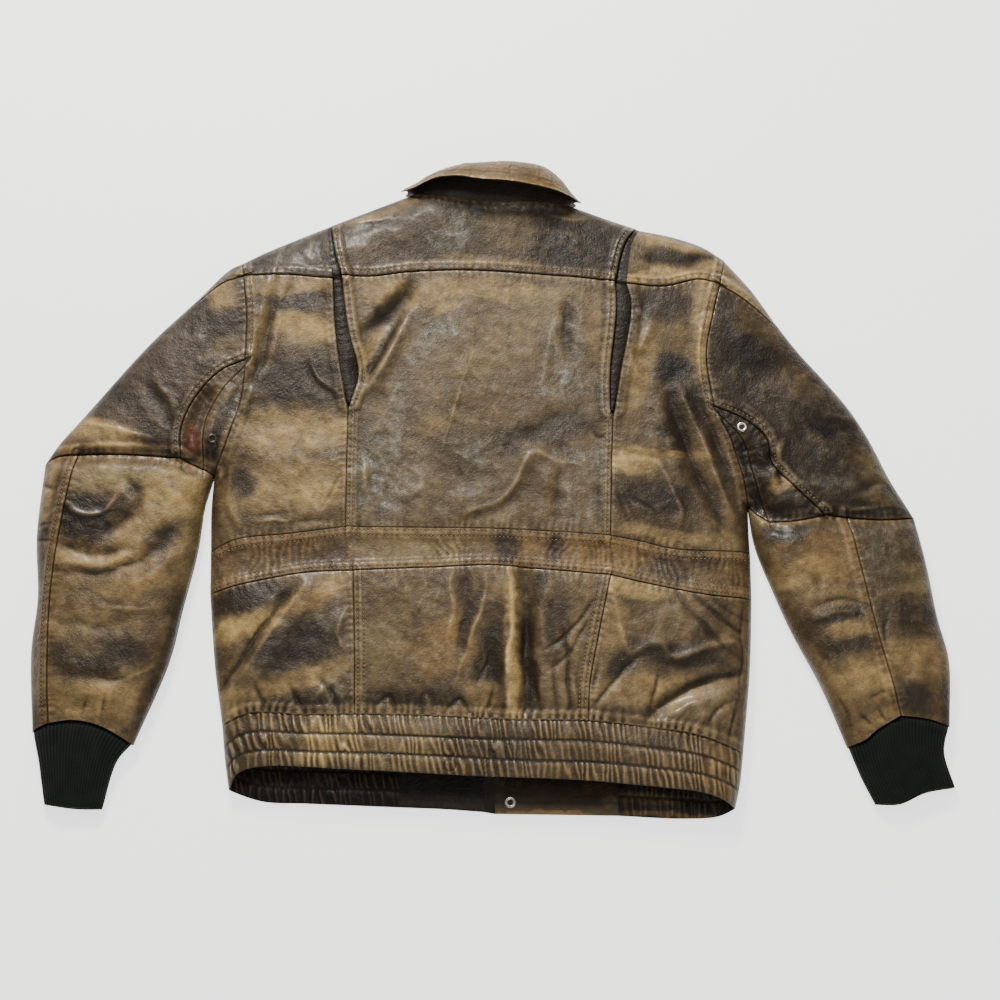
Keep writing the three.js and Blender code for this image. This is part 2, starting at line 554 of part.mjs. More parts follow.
// ---- Sleeves: back half, gusset in two, forearm in two, and the half beneath ----
function sleeve(side, half) {
  const armTop = backwards(pointsAt(half.armholeTop, crowded(YOKE)));
  const armMid = backwards(pointsAt(half.armholeMid, even(ARM_MID)));
  const armLow = backwards(pointsAt(half.armholeLow, even(ARM_LOW)));
  const arc = backwards(pointsAt(half.gussetArc, even(ARM_LOW)));
  const ridge = backwards(pointsAt(half.gussetRidge, even(ARM_LOW)));
  const elbow = {
    out: pointsAt(half.elbowOut, crowded(OUTER)),
    mid: pointsAt(half.elbowMid, even(MID)),
    gusset: pointsAt(half.elbowGusset, even(GUSSET)),
    pit: pointsAt(half.elbowPit, even(GUSSET)),
  };
  const seam = backwards(pointsAt(half.foreSeam, even(FOREARM)));
  const foreIn = backwards(pointsAt(half.foreIn, even(FOREARM)));
  const foreOut = backwards(pointsAt(half.foreOut, even(FOREARM)));
  const stripSeam = backwards(pointsAt(half.stripSeam, even(SIDE)));
  const upperRows = ARM_LOW + ARM_MID;
  add(`sleeve_strip_${side}`, panel({
    foot: stripSeam,
    head: backwards(pointsAt(half.sleeveTop, even(SIDE))),
    left: pointsAt(half.stripEnd, mirrored(crowded(YOKE))),
    right: armTop,
  }), "tan");
  add(`sleeve_upper_${side}`, panel({
    foot: joined(elbow.out, elbow.mid),
    head: joined(backwards(pointsAt(half.stripEnd, [0, 1])), stripSeam),
    left: backwards(pointsAt(half.upperOut, even(upperRows))),
    right: joined(arc, armMid),
  }), "dark");
  add(`gusset_upper_${side}`, panel({
    foot: elbow.gusset,
    head: pointsAt(half.gussetHeadUpper, even(GUSSET)),
    left: arc,
    right: ridge,
  }), "dark");
  add(`gusset_lower_${side}`, panel({
    foot: elbow.pit,
    head: pointsAt(half.gussetHeadLower, even(GUSSET)),
    left: ridge,
    right: armLow,
  }), "dark");
  add(`forearm_outer_${side}`, panel({
    foot: pointsAt(half.cuffLineOut, crowded(OUTER)),
    head: elbow.out,
    left: foreOut,
    right: seam,
  }), "dark");
  add(`forearm_inner_${side}`, panel({
    foot: pointsAt(half.cuffLineIn, mirrored(crowded(MID + 2 * GUSSET))),
    head: joined(elbow.mid, elbow.gusset, elbow.pit),
    left: seam,
    right: foreIn,
  }), "tan");
  const cuffLine = joined(pointsAt(half.cuffLineOut, crowded(OUTER)),
    pointsAt(half.cuffLineIn, even(MID)));
  const elbowChord = pointsAt([half.elbowPit.at(-1), half.elbowOut.at(-1)], even(MID));
  const beneath = joined(elbow.out, backwards(elbowChord));
  add(`sleeve_under_${side}`, panel({
    foot: beneath,
    head: backwards(pointsAt(half.armholeTop, even(OUTER + MID))),
    left: joined(backwards(pointsAt(half.upperOut, even(upperRows))),
      backwards(pointsAt(half.sleeveTop, even(OUTER)))),
    right: joined(armLow, backwards(pointsAt(half.gussetHeadLower, [0, 1])),
      backwards(pointsAt(half.gussetHeadUpper, [0, 1])), armMid),
  }, frontFace), "dark");
  add(`forearm_under_${side}`, panel({
    foot: cuffLine, head: beneath, left: foreOut, right: foreIn,
  }, frontFace), "dark");
}

// ---- Rib cuffs: flattened tubes that start at the sleeve's end ----
const CUFF_COLUMNS = 20;
const CUFF_ROWS = 4;
const CUFF_CLEARANCE = 2.4;
const FLATNESS = 0.7; // power that squares the section's ends

// The plan of a cuff is a Coons patch between the sleeve's end, drawn back, and its open end.
function ribCuff(half) {
  const drawnBack = ([x, y]) => [x, y - CUFF_CLEARANCE];
  const start = [...half.cuffLineOut, ...half.cuffLineIn.slice(1)].map(drawnBack);
  const out = [drawnBack(half.cuffOut[0]), ...half.cuffOut.slice(1)];
  const inn = [drawnBack(half.cuffIn[0]), ...half.cuffIn.slice(1)];
  const width = Math.abs(out.at(-1)[0] - inn.at(-1)[0]);
  const corner = ([x, y]) => new THREE.Vector3(x, y, 0);
  const place = (u, v) => {
    const [low, high] = [start, half.cuffEnd].map((route) => pointsAt(route, [u])[0]);
    const [near, far] = [out, inn].map((route) => pointsAt(route, [v])[0]);
    return low.multiplyScalar(1 - v).addScaledVector(high, v)
      .addScaledVector(near, 1 - u).addScaledVector(far, u)
      .addScaledVector(corner(out[0]), -(1 - u) * (1 - v))
      .addScaledVector(corner(inn[0]), -u * (1 - v))
      .addScaledVector(corner(out.at(-1)), -(1 - u) * v)
      .addScaledVector(corner(inn.at(-1)), -u * v);
  };
  const rings = (shrink) => even(CUFF_ROWS).map((v) => Array.from({ length: CUFF_COLUMNS }, (_, i) => {
    const angle = (2 * Math.PI * i) / CUFF_COLUMNS;
    const high = CUFF_START + (CUFF_END - CUFF_START) * v;
    const side = Math.sign(Math.sin(angle)) * Math.abs(Math.sin(angle)) ** FLATNESS;
    return place(0.5 - Math.cos(angle) * (0.5 - shrink / width), v)
      .setZ(high / 2 + (high / 2 - shrink) * side);
  }));
  return wall(rings(0), rings(CUFF_WALL), true);
}

for (const [side, half] of [["left", LEFT], ["right", RIGHT]]) {
  sleeve(side, half);
  add(`rib_cuff_${side}`, ribCuff(half), "rib");
}

// ---- Front, beneath ----
function front(side, half) {
  const hem = joined(pointsAt(half.frontHem, crowded(SIDE)), pointsAt(half.frontHemEnd, even(SIDE)));
  const centre = half.frontHemEnd.at(-1);
  const neckFoot = half.frontNeck.at(-1);
  const rows = LOWER + STRIP + SIDE_HIGH + ARM_LOW + 2 + ARM_MID + OUTER + MID;
  add(`front_${side}`, panel({
    foot: hem,
    head: joined(backwards(pointsAt(half.shoulderOut, even(SHOULDER_STEPS))),
      backwards(pointsAt(half.pleatTop, [0, 1])),
      backwards(pointsAt(half.shoulderIn, even(SHOULDER_STEPS))),
      pointsAt(half.frontNeck, crowded(SIDE))),
    left: joined(backwards(pointsAt(half.sideLow, even(LOWER))),
      backwards(pointsAt(half.sideStrip, even(STRIP))),
      backwards(pointsAt(half.sideHigh, even(SIDE_HIGH))),
      backwards(pointsAt(half.armholeLow, even(ARM_LOW))),
      backwards(pointsAt(half.gussetHeadLower, [0, 1])),
      backwards(pointsAt(half.gussetHeadUpper, [0, 1])),
      backwards(pointsAt(half.armholeMid, even(ARM_MID))),
      backwards(pointsAt(half.armholeTop, even(OUTER + MID)))),
    right: pointsAt([centre, neckFoot], even(rows)),
  }, frontFace), "dark");
  add(`hem_band_front_${side}`, panel({
    foot: pointsAt(half.frontLow, crowded(SIDE)),
    head: pointsAt(half.frontHem, crowded(SIDE)),
    left: backwards(pointsAt(half.sideHem, even(HEM))),
    right: pointsAt([half.frontLow.at(-1), half.frontHem.at(-1)], even(HEM)),
  }, frontFace), "olive");
  add(half === LEFT ? "hem_facing" : "hem_tab", panel({
    foot: pointsAt(half.frontLowEnd, even(SIDE)),
    head: pointsAt(half.frontHemEnd, even(SIDE)),
    left: pointsAt([half.frontLowEnd[0], half.frontHemEnd[0]], even(HEM)),
    right: pointsAt([half.frontLowEnd.at(-1), centre], even(HEM)),
  }, frontFace), half === LEFT ? "facing" : "tan");
  const collarCorner = [half.frontNeck[0], half.frontCollar[0]];
  add(`collar_front_${side}`, panel({
    foot: pointsAt(half.frontNeck, crowded(SIDE)),
    head: pointsAt(half.frontCollar, crowded(SIDE)),
    left: pointsAt(collarCorner, even(HEM)),
    right: pointsAt([neckFoot, half.frontCollar.at(-1)], even(HEM)),
  }, frontFace), "tan");
}
front("left", LEFT);
front("right", RIGHT);
add("front_zip", panel({
  foot: pointsAt([LEFT.frontLowEnd.at(-1), RIGHT.frontLowEnd.at(-1)], even(2)),
  head: pointsAt([LEFT.frontNeck.at(-1), RIGHT.frontNeck.at(-1)], even(2)),
  left: pointsAt([LEFT.frontLowEnd.at(-1), LEFT.frontNeck.at(-1)], even(HEM)),
  right: pointsAt([RIGHT.frontLowEnd.at(-1), RIGHT.frontNeck.at(-1)], even(HEM)),
}, frontFace), "facing");

// ---- Collar: a stand that rises from the neck, and a leaf turned back over it ----
const COLLAR_STEPS = 14;
const STAND_ROWS = 3;
const LEAF_ROWS = 6;
const TURN_OUT = 0.4; // share of the swell that the leaf takes where it turns over the fold
const CROWN_AT = 0.55; // how far from fold to lip the leaf stands highest
const CROWN_OUT = 0.8; // share of the swell there
function collar() {
  const shares = even(COLLAR_STEPS);
  const neck = pointsAt(NECK, shares).map(({ x, y }, i) => {
    const ends = i === 0 || i === COLLAR_STEPS;
    return backFace(x, y, ends).point.add(new THREE.Vector3(0, 2 * HALF_GAP, 0));
  });
  const fold = pointsAt(COLLAR_FOLD, shares);
  const lip = pointsAt(COLLAR_LIP, shares);
  const crease = fold.map((point, i) => point.clone().lerp(neck[i],
    FOLD_RADIUS / (point.distanceTo(neck[i]) + FOLD_RADIUS)));
  const standRows = even(STAND_ROWS).map((s) =>
    neck.map((point, i) => point.clone().lerp(crease[i], s)));
  const leafRows = even(LEAF_ROWS).map((s) => fold.map((point, i) => {
    const swell = COLLAR_BULGE * Math.sin(Math.PI * shares[i]) ** 0.5;
    const outwards = point.clone().sub(neck[i]).setZ(0).normalize();
    const start = crease[i].clone().addScaledVector(outwards, 2 * HALF_GAP);
    const turn = point.clone().addScaledVector(outwards, TURN_OUT * swell);
    const raised = new THREE.Vector3(0, CROWN_OUT * swell, CROWN_OUT * swell);
    const crown = point.clone().lerp(lip[i], CROWN_AT).add(raised);
    return new THREE.CubicBezierCurve3(start, turn, crown, lip[i]).getPoint(s);
  }));
  return { stand: ribbon(standRows), leaf: ribbon(leafRows) };
}
const { stand, leaf } = collar();
add("collar_stand", stand, "stand");
add("collar_leaf", leaf, "tan");

// ---- Eyelets and the snap: turned rings that lie on the leather ----
const EYELET = { outside: 6, hole: 3, high: 1.6 };
const RING_SNAP = { outside: 6.5, hole: 2.5, high: 2.4 };
const RING_SIDES = 24;

function turnedRing({ outside, hole, high }) {
  const profile = [[hole, 0], [outside, 0], [outside, 0.5 * high], [0.75 * outside, high],
    [hole, 0.7 * high], [hole, 0]];
  return new THREE.LatheGeometry(profile.map(([r, h]) => new THREE.Vector2(r, h)), RING_SIDES);
}

// A lathe turns about +Y, so the ring is first stood on +Z, then tipped to the leather.
function laidRing(name, geometry, { point, normal }) {
  const mesh = add(name, geometry.rotateX(Math.PI / 2), "metal", 0.9);
  mesh.position.copy(point).addScaledVector(normal, HARDWARE_LIFT);
  mesh.quaternion.setFromUnitVectors(new THREE.Vector3(0, 0, 1), normal);
}

laidRing("eyelet_left", turnedRing(EYELET), backFace(...LEFT.eyelet, false));
laidRing("eyelet_right", turnedRing(EYELET), backFace(...RIGHT.eyelet, false));
laidRing("hem_snap", turnedRing(RING_SNAP), {
  point: new THREE.Vector3(...SNAP, WALL),
  normal: new THREE.Vector3(0, 0, 1),
});

export default jacket;
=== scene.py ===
# %% [markdown]
# # A worn leather blouson, laid face down
# The jacket lies on its front, so its back shows: a yoke, two action pleats, a waist strip, a
# gathered hem band, sleeves with underarm gussets, a turned shirt collar and rib-knit cuffs.
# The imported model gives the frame: it says where every panel starts and ends. Here each panel
# is made again as a fine sheet with its own creases, puckers, stitches and worn hide. All work
# is in millimetres in the garment's plan, and is moved to the row's frame as a mesh is made.

# %% Load the frame
import json

import bpy
import numpy as np
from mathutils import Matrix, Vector

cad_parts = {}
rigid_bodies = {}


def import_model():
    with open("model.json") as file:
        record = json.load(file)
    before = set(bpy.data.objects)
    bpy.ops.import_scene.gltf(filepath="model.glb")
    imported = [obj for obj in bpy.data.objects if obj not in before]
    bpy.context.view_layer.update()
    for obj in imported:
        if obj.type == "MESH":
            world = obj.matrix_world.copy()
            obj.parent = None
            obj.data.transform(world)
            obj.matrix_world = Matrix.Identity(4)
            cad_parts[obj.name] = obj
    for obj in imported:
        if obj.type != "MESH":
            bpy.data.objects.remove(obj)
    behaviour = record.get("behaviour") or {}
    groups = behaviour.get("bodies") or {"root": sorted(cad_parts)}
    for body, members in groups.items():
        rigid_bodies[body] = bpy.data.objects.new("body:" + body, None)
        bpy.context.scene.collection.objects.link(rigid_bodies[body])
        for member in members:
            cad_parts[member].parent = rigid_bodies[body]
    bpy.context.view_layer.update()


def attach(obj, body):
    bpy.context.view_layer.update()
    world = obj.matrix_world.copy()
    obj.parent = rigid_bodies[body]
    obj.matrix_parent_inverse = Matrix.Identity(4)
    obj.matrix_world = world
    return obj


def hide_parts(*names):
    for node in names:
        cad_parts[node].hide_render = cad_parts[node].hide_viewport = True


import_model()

# %% [markdown]
# ## The plan of the garment
# A cutter works from seam lines. These are the jacket's seams and outline as it lies, in
# millimetres, each drawn from a few points that a smooth curve passes through. The two halves
# differ, because cloth never lies quite the same on both sides.

# %% Seam lines and sizes
CENTRE = np.array([-3.23, 10.04])
RIM = 13.0  # height at which back and front meet round the rolled edge
LOFT = 36.0  # height of the back over the surface
ROLL_BACK = 52.0  # distance over which the back rises to its loft
ROLL_FRONT = 18.0
WALL = 2.0
STEP = 4  # the hidden inner wall has one cell for this many outer ones
LEFT = {
    "shoulder_in": [[-94, 350], [-143, 330], [-184, 313]],
    "pleat_top": [[-184, 313], [-188, 311]],
    "shoulder_out": [[-188, 311], [-228, 294], [-259, 280], [-284, 267]],
    "sleeve_top": [[-284, 267], [-298, 260], [-336, 221]],
    "upper_out": [[-336, 221], [-386, 170], [-456, 84], [-482, 52], [-496, 30]],
    "fore_out": [[-496, 30], [-501, -53], [-496, -121], [-500, -180], [-494, -268]],
    "fore_in": [[-308, 16], [-317, -20], [-323, -68], [-337, -132], [-350, -192], [-385, -282]],
    "side_high": [[-308, 16], [-310, -24], [-309, -71]],
    "side_strip": [[-309, -71], [-308, -118]],
    "side_low": [[-308, -118], [-300, -198], [-290, -262]],
    "side_hem": [[-290, -262], [-286, -298], [-281, -330]],
    "armhole_top": [[-284, 267], [-280, 247]],
    "armhole_mid": [[-280, 247], [-275, 200], [-275, 146]],
    "armhole_low": [[-275, 130], [-279, 98], [-297, 40], [-308, 16]],
    "gusset_head_upper": [[-275, 146], [-275, 138]],
    "gusset_head_lower": [[-275, 138], [-275, 130]],
    "gusset_arc": [[-275, 146], [-301, 134], [-328, 105], [-344, 68], [-344, 34]],
    "gusset_ridge": [[-275, 138], [-300, 109], [-318, 74], [-319, 22]],
    "strip_seam": [[-280, 247], [-307, 238], [-334, 217]],
    "strip_end": [[-334, 217], [-336, 221]],
    "elbow_out": [[-496, 30], [-482, 37], [-458, 38]],
    "elbow_mid": [[-458, 38], [-400, 38], [-344, 34]],
    "elbow_gusset": [[-344, 34], [-319, 22]],
    "elbow_pit": [[-319, 22], [-308, 16]],
    "fore_seam": [[-458, 38], [-470, -30], [-480, -120], [-476, -260]],
    "cuff_line_out": [[-494, -268], [-484, -263], [-476, -260]],
    "cuff_line_in": [[-476, -260], [-448, -257], [-420, -263], [-385, -282]],
    "cuff_out": [[-494, -268], [-486, -300], [-478, -345]],
    "cuff_in": [[-385, -282], [-402, -300], [-416, -350]],
    "cuff_end": [[-478, -345], [-448, -349], [-416, -350]],
    "pleat_foot": [[-162, 96], [-157, 96]],
    "pleat_side_high": [[-188, 311], [-184, 270], [-180, 242]],
    "pleat_back_high": [[-184, 313], [-178, 275], [-170, 245]],
    "pleat_side_low": [[-180, 242], [-175, 173], [-162, 96]],
    "pleat_back_low": [[-170, 245], [-161, 180], [-149, 130], [-157, 96]],
    "back_low": [[-159.5, 90], [-160, 20], [-160, -46]],
    "yoke_side": [[-280, 247], [-230, 247], [-180, 242]],
    "strip_top": [[-309, -71], [-279, -60], [-220, -54], [-160, -46]],
    "strip_low": [[-308, -118], [-277, -110], [-201, -96], [-151, -94]],
    "lower_seam": [[-151, -94], [-148, -180], [-147, -252]],
    "hem_top": [[-290, -262], [-258, -251], [-200, -253], [-147, -252]],
    "front_neck": [[-94, 350], [-70, 322], [-9, 306]],
    "front_collar": [[-100, 354], [-83, 362], [-48, 370], [-9, 374]],
    "front_hem": [[-290, -262], [-270, -282], [-200, -288], [-100, -290]],
    "front_hem_end": [[-100, -290], [-50, -291], [-9, -291]],
    "front_low": [[-281, -330], [-245, -341], [-200, -343], [-100, -347]],
    "front_low_end": [[-100, -347], [-50, -349], [-9, -352]],
    "eyelet": [-309, 54],
}
RIGHT = {
    "shoulder_in": [[89, 337], [130, 321], [163, 309]],
    "pleat_top": [[163, 309], [167, 307]],
    "shoulder_out": [[167, 307], [205, 299], [240, 286], [262, 271]],
    "sleeve_top": [[262, 271], [292, 235], [317, 197]],
    "upper_out": [[317, 197], [345, 158], [372, 126], [399, 91], [420, 54], [438, 14], [464, -32]],
    "fore_out": [[464, -32], [475, -85], [484, -144], [494, -190], [491, -262]],
    "fore_in": [[281, -20], [287, -62], [305, -112], [324, -158], [355, -221], [380, -285]],
    "side_high": [[281, -20], [281, -46], [282, -73]],
    "side_strip": [[282, -73], [282, -124]],
    "side_low": [[282, -124], [278, -200], [268, -292]],
    "side_hem": [[268, -292], [264, -323], [258, -350]],
    "armhole_top": [[262, 271], [255, 236]],
    "armhole_mid": [[255, 236], [246, 201], [237, 150], [244, 92]],
    "armhole_low": [[251, 76], [262, 54], [274, 16], [281, -20]],
    "gusset_head_upper": [[244, 92], [247.5, 84]],
    "gusset_head_lower": [[247.5, 84], [251, 76]],
    "gusset_arc": [[244, 92], [283, 74], [302, 54], [308, 26], [330, 0], [363, -31]],
    "gusset_ridge": [[247.5, 84], [277, 50], [286, 16], [302, -38]],
    "strip_seam": [[255, 236], [286, 216], [314, 193]],
    "strip_end": [[314, 193], [317, 197]],
    "elbow_out": [[464, -32], [430, -36], [387, -34]],
    "elbow_mid": [[387, -34], [363, -31]],
    "elbow_gusset": [[363, -31], [333, -37], [302, -38]],
    "elbow_pit": [[302, -38], [281, -20]],
    "fore_seam": [[387, -34], [401, -98], [416, -170], [437, -252]],
    "cuff_line_out": [[491, -262], [464, -255], [437, -252]],
    "cuff_line_in": [[437, -252], [410, -268], [398, -278], [380, -285]],
    "cuff_out": [[491, -262], [484, -288], [494, -327]],
    "cuff_in": [[380, -285], [393, -315], [408, -345]],
    "cuff_end": [[494, -327], [464, -332], [436, -344], [408, -345]],
    "pleat_foot": [[135, 87], [130, 87]],
    "pleat_side_high": [[167, 307], [157, 284], [150, 236]],
    "pleat_back_high": [[163, 309], [148, 283], [137, 238]],
    "pleat_side_low": [[150, 236], [155, 207], [142, 130], [135, 87]],
    "pleat_back_low": [[137, 238], [138, 207], [130, 130], [130, 87]],
    "back_low": [[132.5, 81], [130, 20], [128, -56]],
    "yoke_side": [[255, 236], [232, 241], [193, 233], [150, 236]],
    "strip_top": [[282, -73], [228, -73], [193, -70], [159, -62], [128, -56]],
    "strip_low": [[282, -124], [238, -122], [170, -109], [128, -99]],
    "lower_seam": [[128, -99], [115, -160], [104, -220], [102, -259]],
    "hem_top": [[268, -292], [219, -275], [156, -265], [102, -259]],
    "front_neck": [[89, 337], [62, 318], [3, 306]],
    "front_collar": [[95, 342], [78, 358], [57, 370], [3, 374]],
    "front_hem": [[268, -292], [250, -304], [210, -296], [135, -291]],
    "front_hem_end": [[135, -291], [70, -291], [3, -291]],
    "front_low": [[258, -350], [240, -357], [202, -359], [135, -356]],
    "front_low_end": [[135, -356], [70, -355], [3, -354]],
    "eyelet": [275, 67],
}
NECK = [[-94, 350], [-72, 345], [-36, 339], [-11, 336], [17, 335], [47, 336], [72, 335], [89, 337]]
YOKE_SEAM = [[-170, 245], [-133, 245], [-95, 250], [-30, 252], [34, 248], [100, 243], [137, 238]]
STRIP_TOP = [[-160, -46], [-80, -47], [0, -48], [91, -53], [128, -56]]
STRIP_LOW = [[-151, -94], [-80, -91], [0, -88], [60, -93], [128, -99]]
HEM_TOP = [[-147, -252], [-60, -254], [20, -258], [102, -259]]
HEM_LOW = [[-281, -330], [-272, -315], [-245, -308], [-154, -311], [-20, -318], [100, -323],
  [177, -330], [225, -336], [246, -343], [258, -350]]
SNAP = [19, -342]
COLLAR_FOLD = [[-99, 357, 14], [-83, 361, 24], [-68, 366, 32], [-48, 372, 38], [-26, 377, 42],
  [17, 379, 45], [39, 378, 44], [57, 375, 41], [74, 364, 34], [85, 351, 24], [94, 343, 14]]
COLLAR_LIP = [[-105, 353, 19], [-90, 350, 36], [-76, 352, 50], [-62, 353, 60], [-40, 352, 67],
  [-11, 347, 70], [17, 345, 70], [46, 341, 67], [68, 339, 58], [84, 339, 42], [100, 339, 19]]
FOLDS = [
    ([[-496, 34], [-440, 37], [-371, 36], [-325, 24]], 9, 11),
    ([[290, -28], [304, -39], [350, -33], [388, -36], [460, -33]], 9, 11),
    ([[276, 40], [281, 10], [292, -20]], 8, 12),
    ([[-318, 100], [-332, 60], [-330, 36]], 6, 10),
    ([[-95, 215], [-125, 175], [-146, 135]], 5, 12),
    ([[-104, 176], [-130, 120]], -3, 9),
    ([[35, -100], [36, -240]], 5, 11),
    ([[14, -110], [16, -240]], -3, 10),
    ([[177, -245], [262, -214]], 5, 10),
    ([[-270, -236], [-200, -120]], -3, 14),
    ([[-300, -94], [-160, -70], [0, -68], [128, -78], [275, -98]], 4, 26),
    ([[-285, -256], [-147, -250], [102, -256], [262, -288]], 4, 12),
    ([[-482, -262], [-440, -256], [-392, -276]], 10, 24),
    ([[485, -260], [440, -250], [388, -284]], 10, 24),
]

# %% [markdown]
# ## Curves and distances
# A seam is a centripetal Catmull-Rom curve, which passes through its points without loops. Most
# of what happens to cloth happens at some distance from a line: it rolls over at an edge, dips
# at a seam, and puckers beside stitches. So one function gives the distance from a line, the
# side of it, and how far along it the nearest place is.

# %% Curve helpers


def smooth(route, steps=32):
    """A centripetal Catmull-Rom curve: cubic spans whose end slopes weigh each neighbouring
    step by the square root of its length, with both ends run on straight."""
    p = np.asarray(route, float)
    if len(p) == 2:
        return p[0] + np.linspace(0, 1, steps + 1)[:, None] * (p[1] - p[0])
    p = np.vstack([2 * p[0] - p[1], p, 2 * p[-1] - p[-2]])
    h = np.sqrt(np.linalg.norm(np.diff(p, axis=0), axis=1))
    t = np.linspace(0, 1, steps, endpoint=False)[:, None]
    spans = []
    for i in range(1, len(p) - 2):
        a, b, c, d = p[i - 1:i + 3]
        h0, h1, h2 = h[i - 1:i + 2]
        leave = ((b - a) / h0 - (c - a) / (h0 + h1) + (c - b) / h1) * h1
        arrive = ((c - b) / h1 - (d - b) / (h1 + h2) + (d - c) / h2) * h1
        spans.append((2 * t**3 - 3 * t**2 + 1) * b + (t**3 - 2 * t**2 + t) * leave
                     + (3 * t**2 - 2 * t**3) * c + (t**3 - t**2) * arrive)
    return np.vstack(spans + [p[-2][None]])


def joined(*runs):
    """Runs of points laid end to end, dropping the point that each shares with the last."""
    return np.vstack([runs[0]] + [run[1:] for run in runs[1:]])


def length(line):
    return np.linalg.norm(np.diff(line, axis=0), axis=1).sum()


def along(line, shares):
    """The points that lie at the given shares of a line's length."""
    run = np.r_[0, np.cumsum(np.linalg.norm(np.diff(line, axis=0), axis=1))]
    return np.column_stack([np.interp(shares, run / run[-1], line[:, k]) for k in range(line.shape[1])])


def nearest(x, y, line, reach=np.inf):
    """Distance from a line, the side (1 on its left), and the length along it. Points outside
    the line's own box by more than reach are left at an endless distance."""
    line = line[:, :2]
    a, run = line[:-1], np.diff(line, axis=0)
    size = (run**2).sum(1) + 1e-12
    ahead = np.r_[0, np.cumsum(np.sqrt(size))]
    distance, side, at = np.full(x.shape, np.inf), np.ones(x.shape), np.zeros(x.shape)
    low, high = line.min(0) - reach, line.max(0) + reach
    near = np.flatnonzero(((x > low[0]) & (x < high[0]) & (y > low[1]) & (y < high[1])).ravel())
    flat = np.column_stack([x.ravel(), y.ravel()])
    for some in np.array_split(near, max(1, near.size * len(a) // 4_000_000 + 1)):
        if not some.size:
            continue
        to = flat[some, None, :] - a
        share = np.clip((to * run).sum(2) / size, 0, 1)
        off = to - share[..., None] * run
        gap = (off**2).sum(2)
        j = gap.argmin(1)
        r = np.arange(len(j))
        distance.ravel()[some] = np.sqrt(gap[r, j])
        side.ravel()[some] = np.where(run[j, 0] * to[r, j, 1] > run[j, 1] * to[r, j, 0], 1, -1)
        at.ravel()[some] = ahead[j] + share[r, j] * np.sqrt(size[j])
    return distance, side, at


def ease(low, high, value):
    """0 below low, 1 above high, and a smooth step between them."""
    t = np.clip((value - low) / (high - low), 0, 1)
    return t * t * (3 - 2 * t)


# %% [markdown]
# ## Seeded unevenness
# Hide is never even. Value noise gives each crossing of a square lattice a random number from a
# seeded table, and blends smoothly between them; a few sizes added up look like soft clouds.

# %% Noise helpers
LATTICE = np.random.default_rng(11).random((256, 256)) * 2 - 1


def noise(x, y, size, layer=0):
    """Smooth value noise from -1 to 1 whose lattice is size millimetres wide."""
    u, v = x / size + 37.7 * layer, y / size + 19.3 * layer
    i, j = np.floor(u).astype(int), np.floor(v).astype(int)
    fu, fv = u - i, v - j
    fu, fv = fu**3 * (fu * (6 * fu - 15) + 10), fv**3 * (fv * (6 * fv - 15) + 10)
    near = LATTICE[i % 256, j % 256] * (1 - fu) + LATTICE[(i + 1) % 256, j % 256] * fu
    far = LATTICE[i % 256, (j + 1) % 256] * (1 - fu) + LATTICE[(i + 1) % 256, (j + 1) % 256] * fu
    return near * (1 - fv) + far * fv


def clouds(x, y, size, layer=0, octaves=3):
    """Noise of several sizes, each half as wide and half as strong as the last."""
    return sum(noise(x, y, size / 2**k, layer + 5 * k) / 2**k for k in range(octaves)) / 1.6


def ridged(x, y, size, layer=0):
    """Sharp creases: the folded absolute value of noise, 0 on a crease and 1 away from it."""
    return np.clip(np.abs(noise(x, y, size, layer)) * 3, 0, 1)


# %% [markdown]
# ## The rolled edge
# A jacket laid flat is two layers that turn into each other round a soft roll. The back rises
# from the roll along a quarter ellipse and then stays at its loft; the front does the same
# downwards in a shorter distance. Both need the distance from the outline.

# %% Heights of the two shells
HALVES = {"left": LEFT, "right": RIGHT}
OUTLINE = ["shoulder_in", "pleat_top", "shoulder_out", "sleeve_top", "upper_out", "fore_out"]
SIDE_EDGE = ["side_high", "side_strip", "side_low", "side_hem"]
EDGES = []
for half in HALVES.values():
    for names in (OUTLINE, ["fore_in"], SIDE_EDGE):
        EDGES.append(joined(*[along(smooth(half[n]), np.linspace(0, 1, 25)) for n in names]))


def from_edge(x, y, reach):
    """Distance from the nearest rolled edge; 0 for points that lie on it."""
    distance = np.full(x.shape, 1e3)
    for edge in EDGES:
        distance = np.minimum(distance, nearest(x, y, edge, reach)[0])
    return np.where(distance < 0.35, 0, distance)


def large_folds(x, y):
    """Height lost to the big folds: each depth fades by the squared exponential of the
    distance over its reach."""
    lost = np.zeros(x.shape)
    for route, depth, reach in FOLDS:
        distance = nearest(x, y, np.array(route, float), 3 * reach)[0]
        lost += depth * np.exp(-(distance / reach) ** 2)
    return lost


def back_base(x, y, drop=0.0):
    """Height of the back shell before its creases, and its distance from the edge."""
    distance = from_edge(x, y, ROLL_BACK)
    rise = np.sqrt(1 - (1 - np.clip(distance / ROLL_BACK, 0, 1)) ** 2)
    return RIM + 0.15 + (LOFT - RIM - large_folds(x, y) - drop) * rise, distance


def front_base(x, y, drop=0.0):
    """Height of the front shell's outer side: flat, and curled up to the rim at the edge."""
    distance = from_edge(x, y, ROLL_FRONT)
    fall = np.sqrt(1 - (1 - np.clip(distance / ROLL_FRONT, 0, 1)) ** 2)
    return (RIM - 0.15) * (1 - fall), distance


print("edges:", [round(length(e)) for e in EDGES])
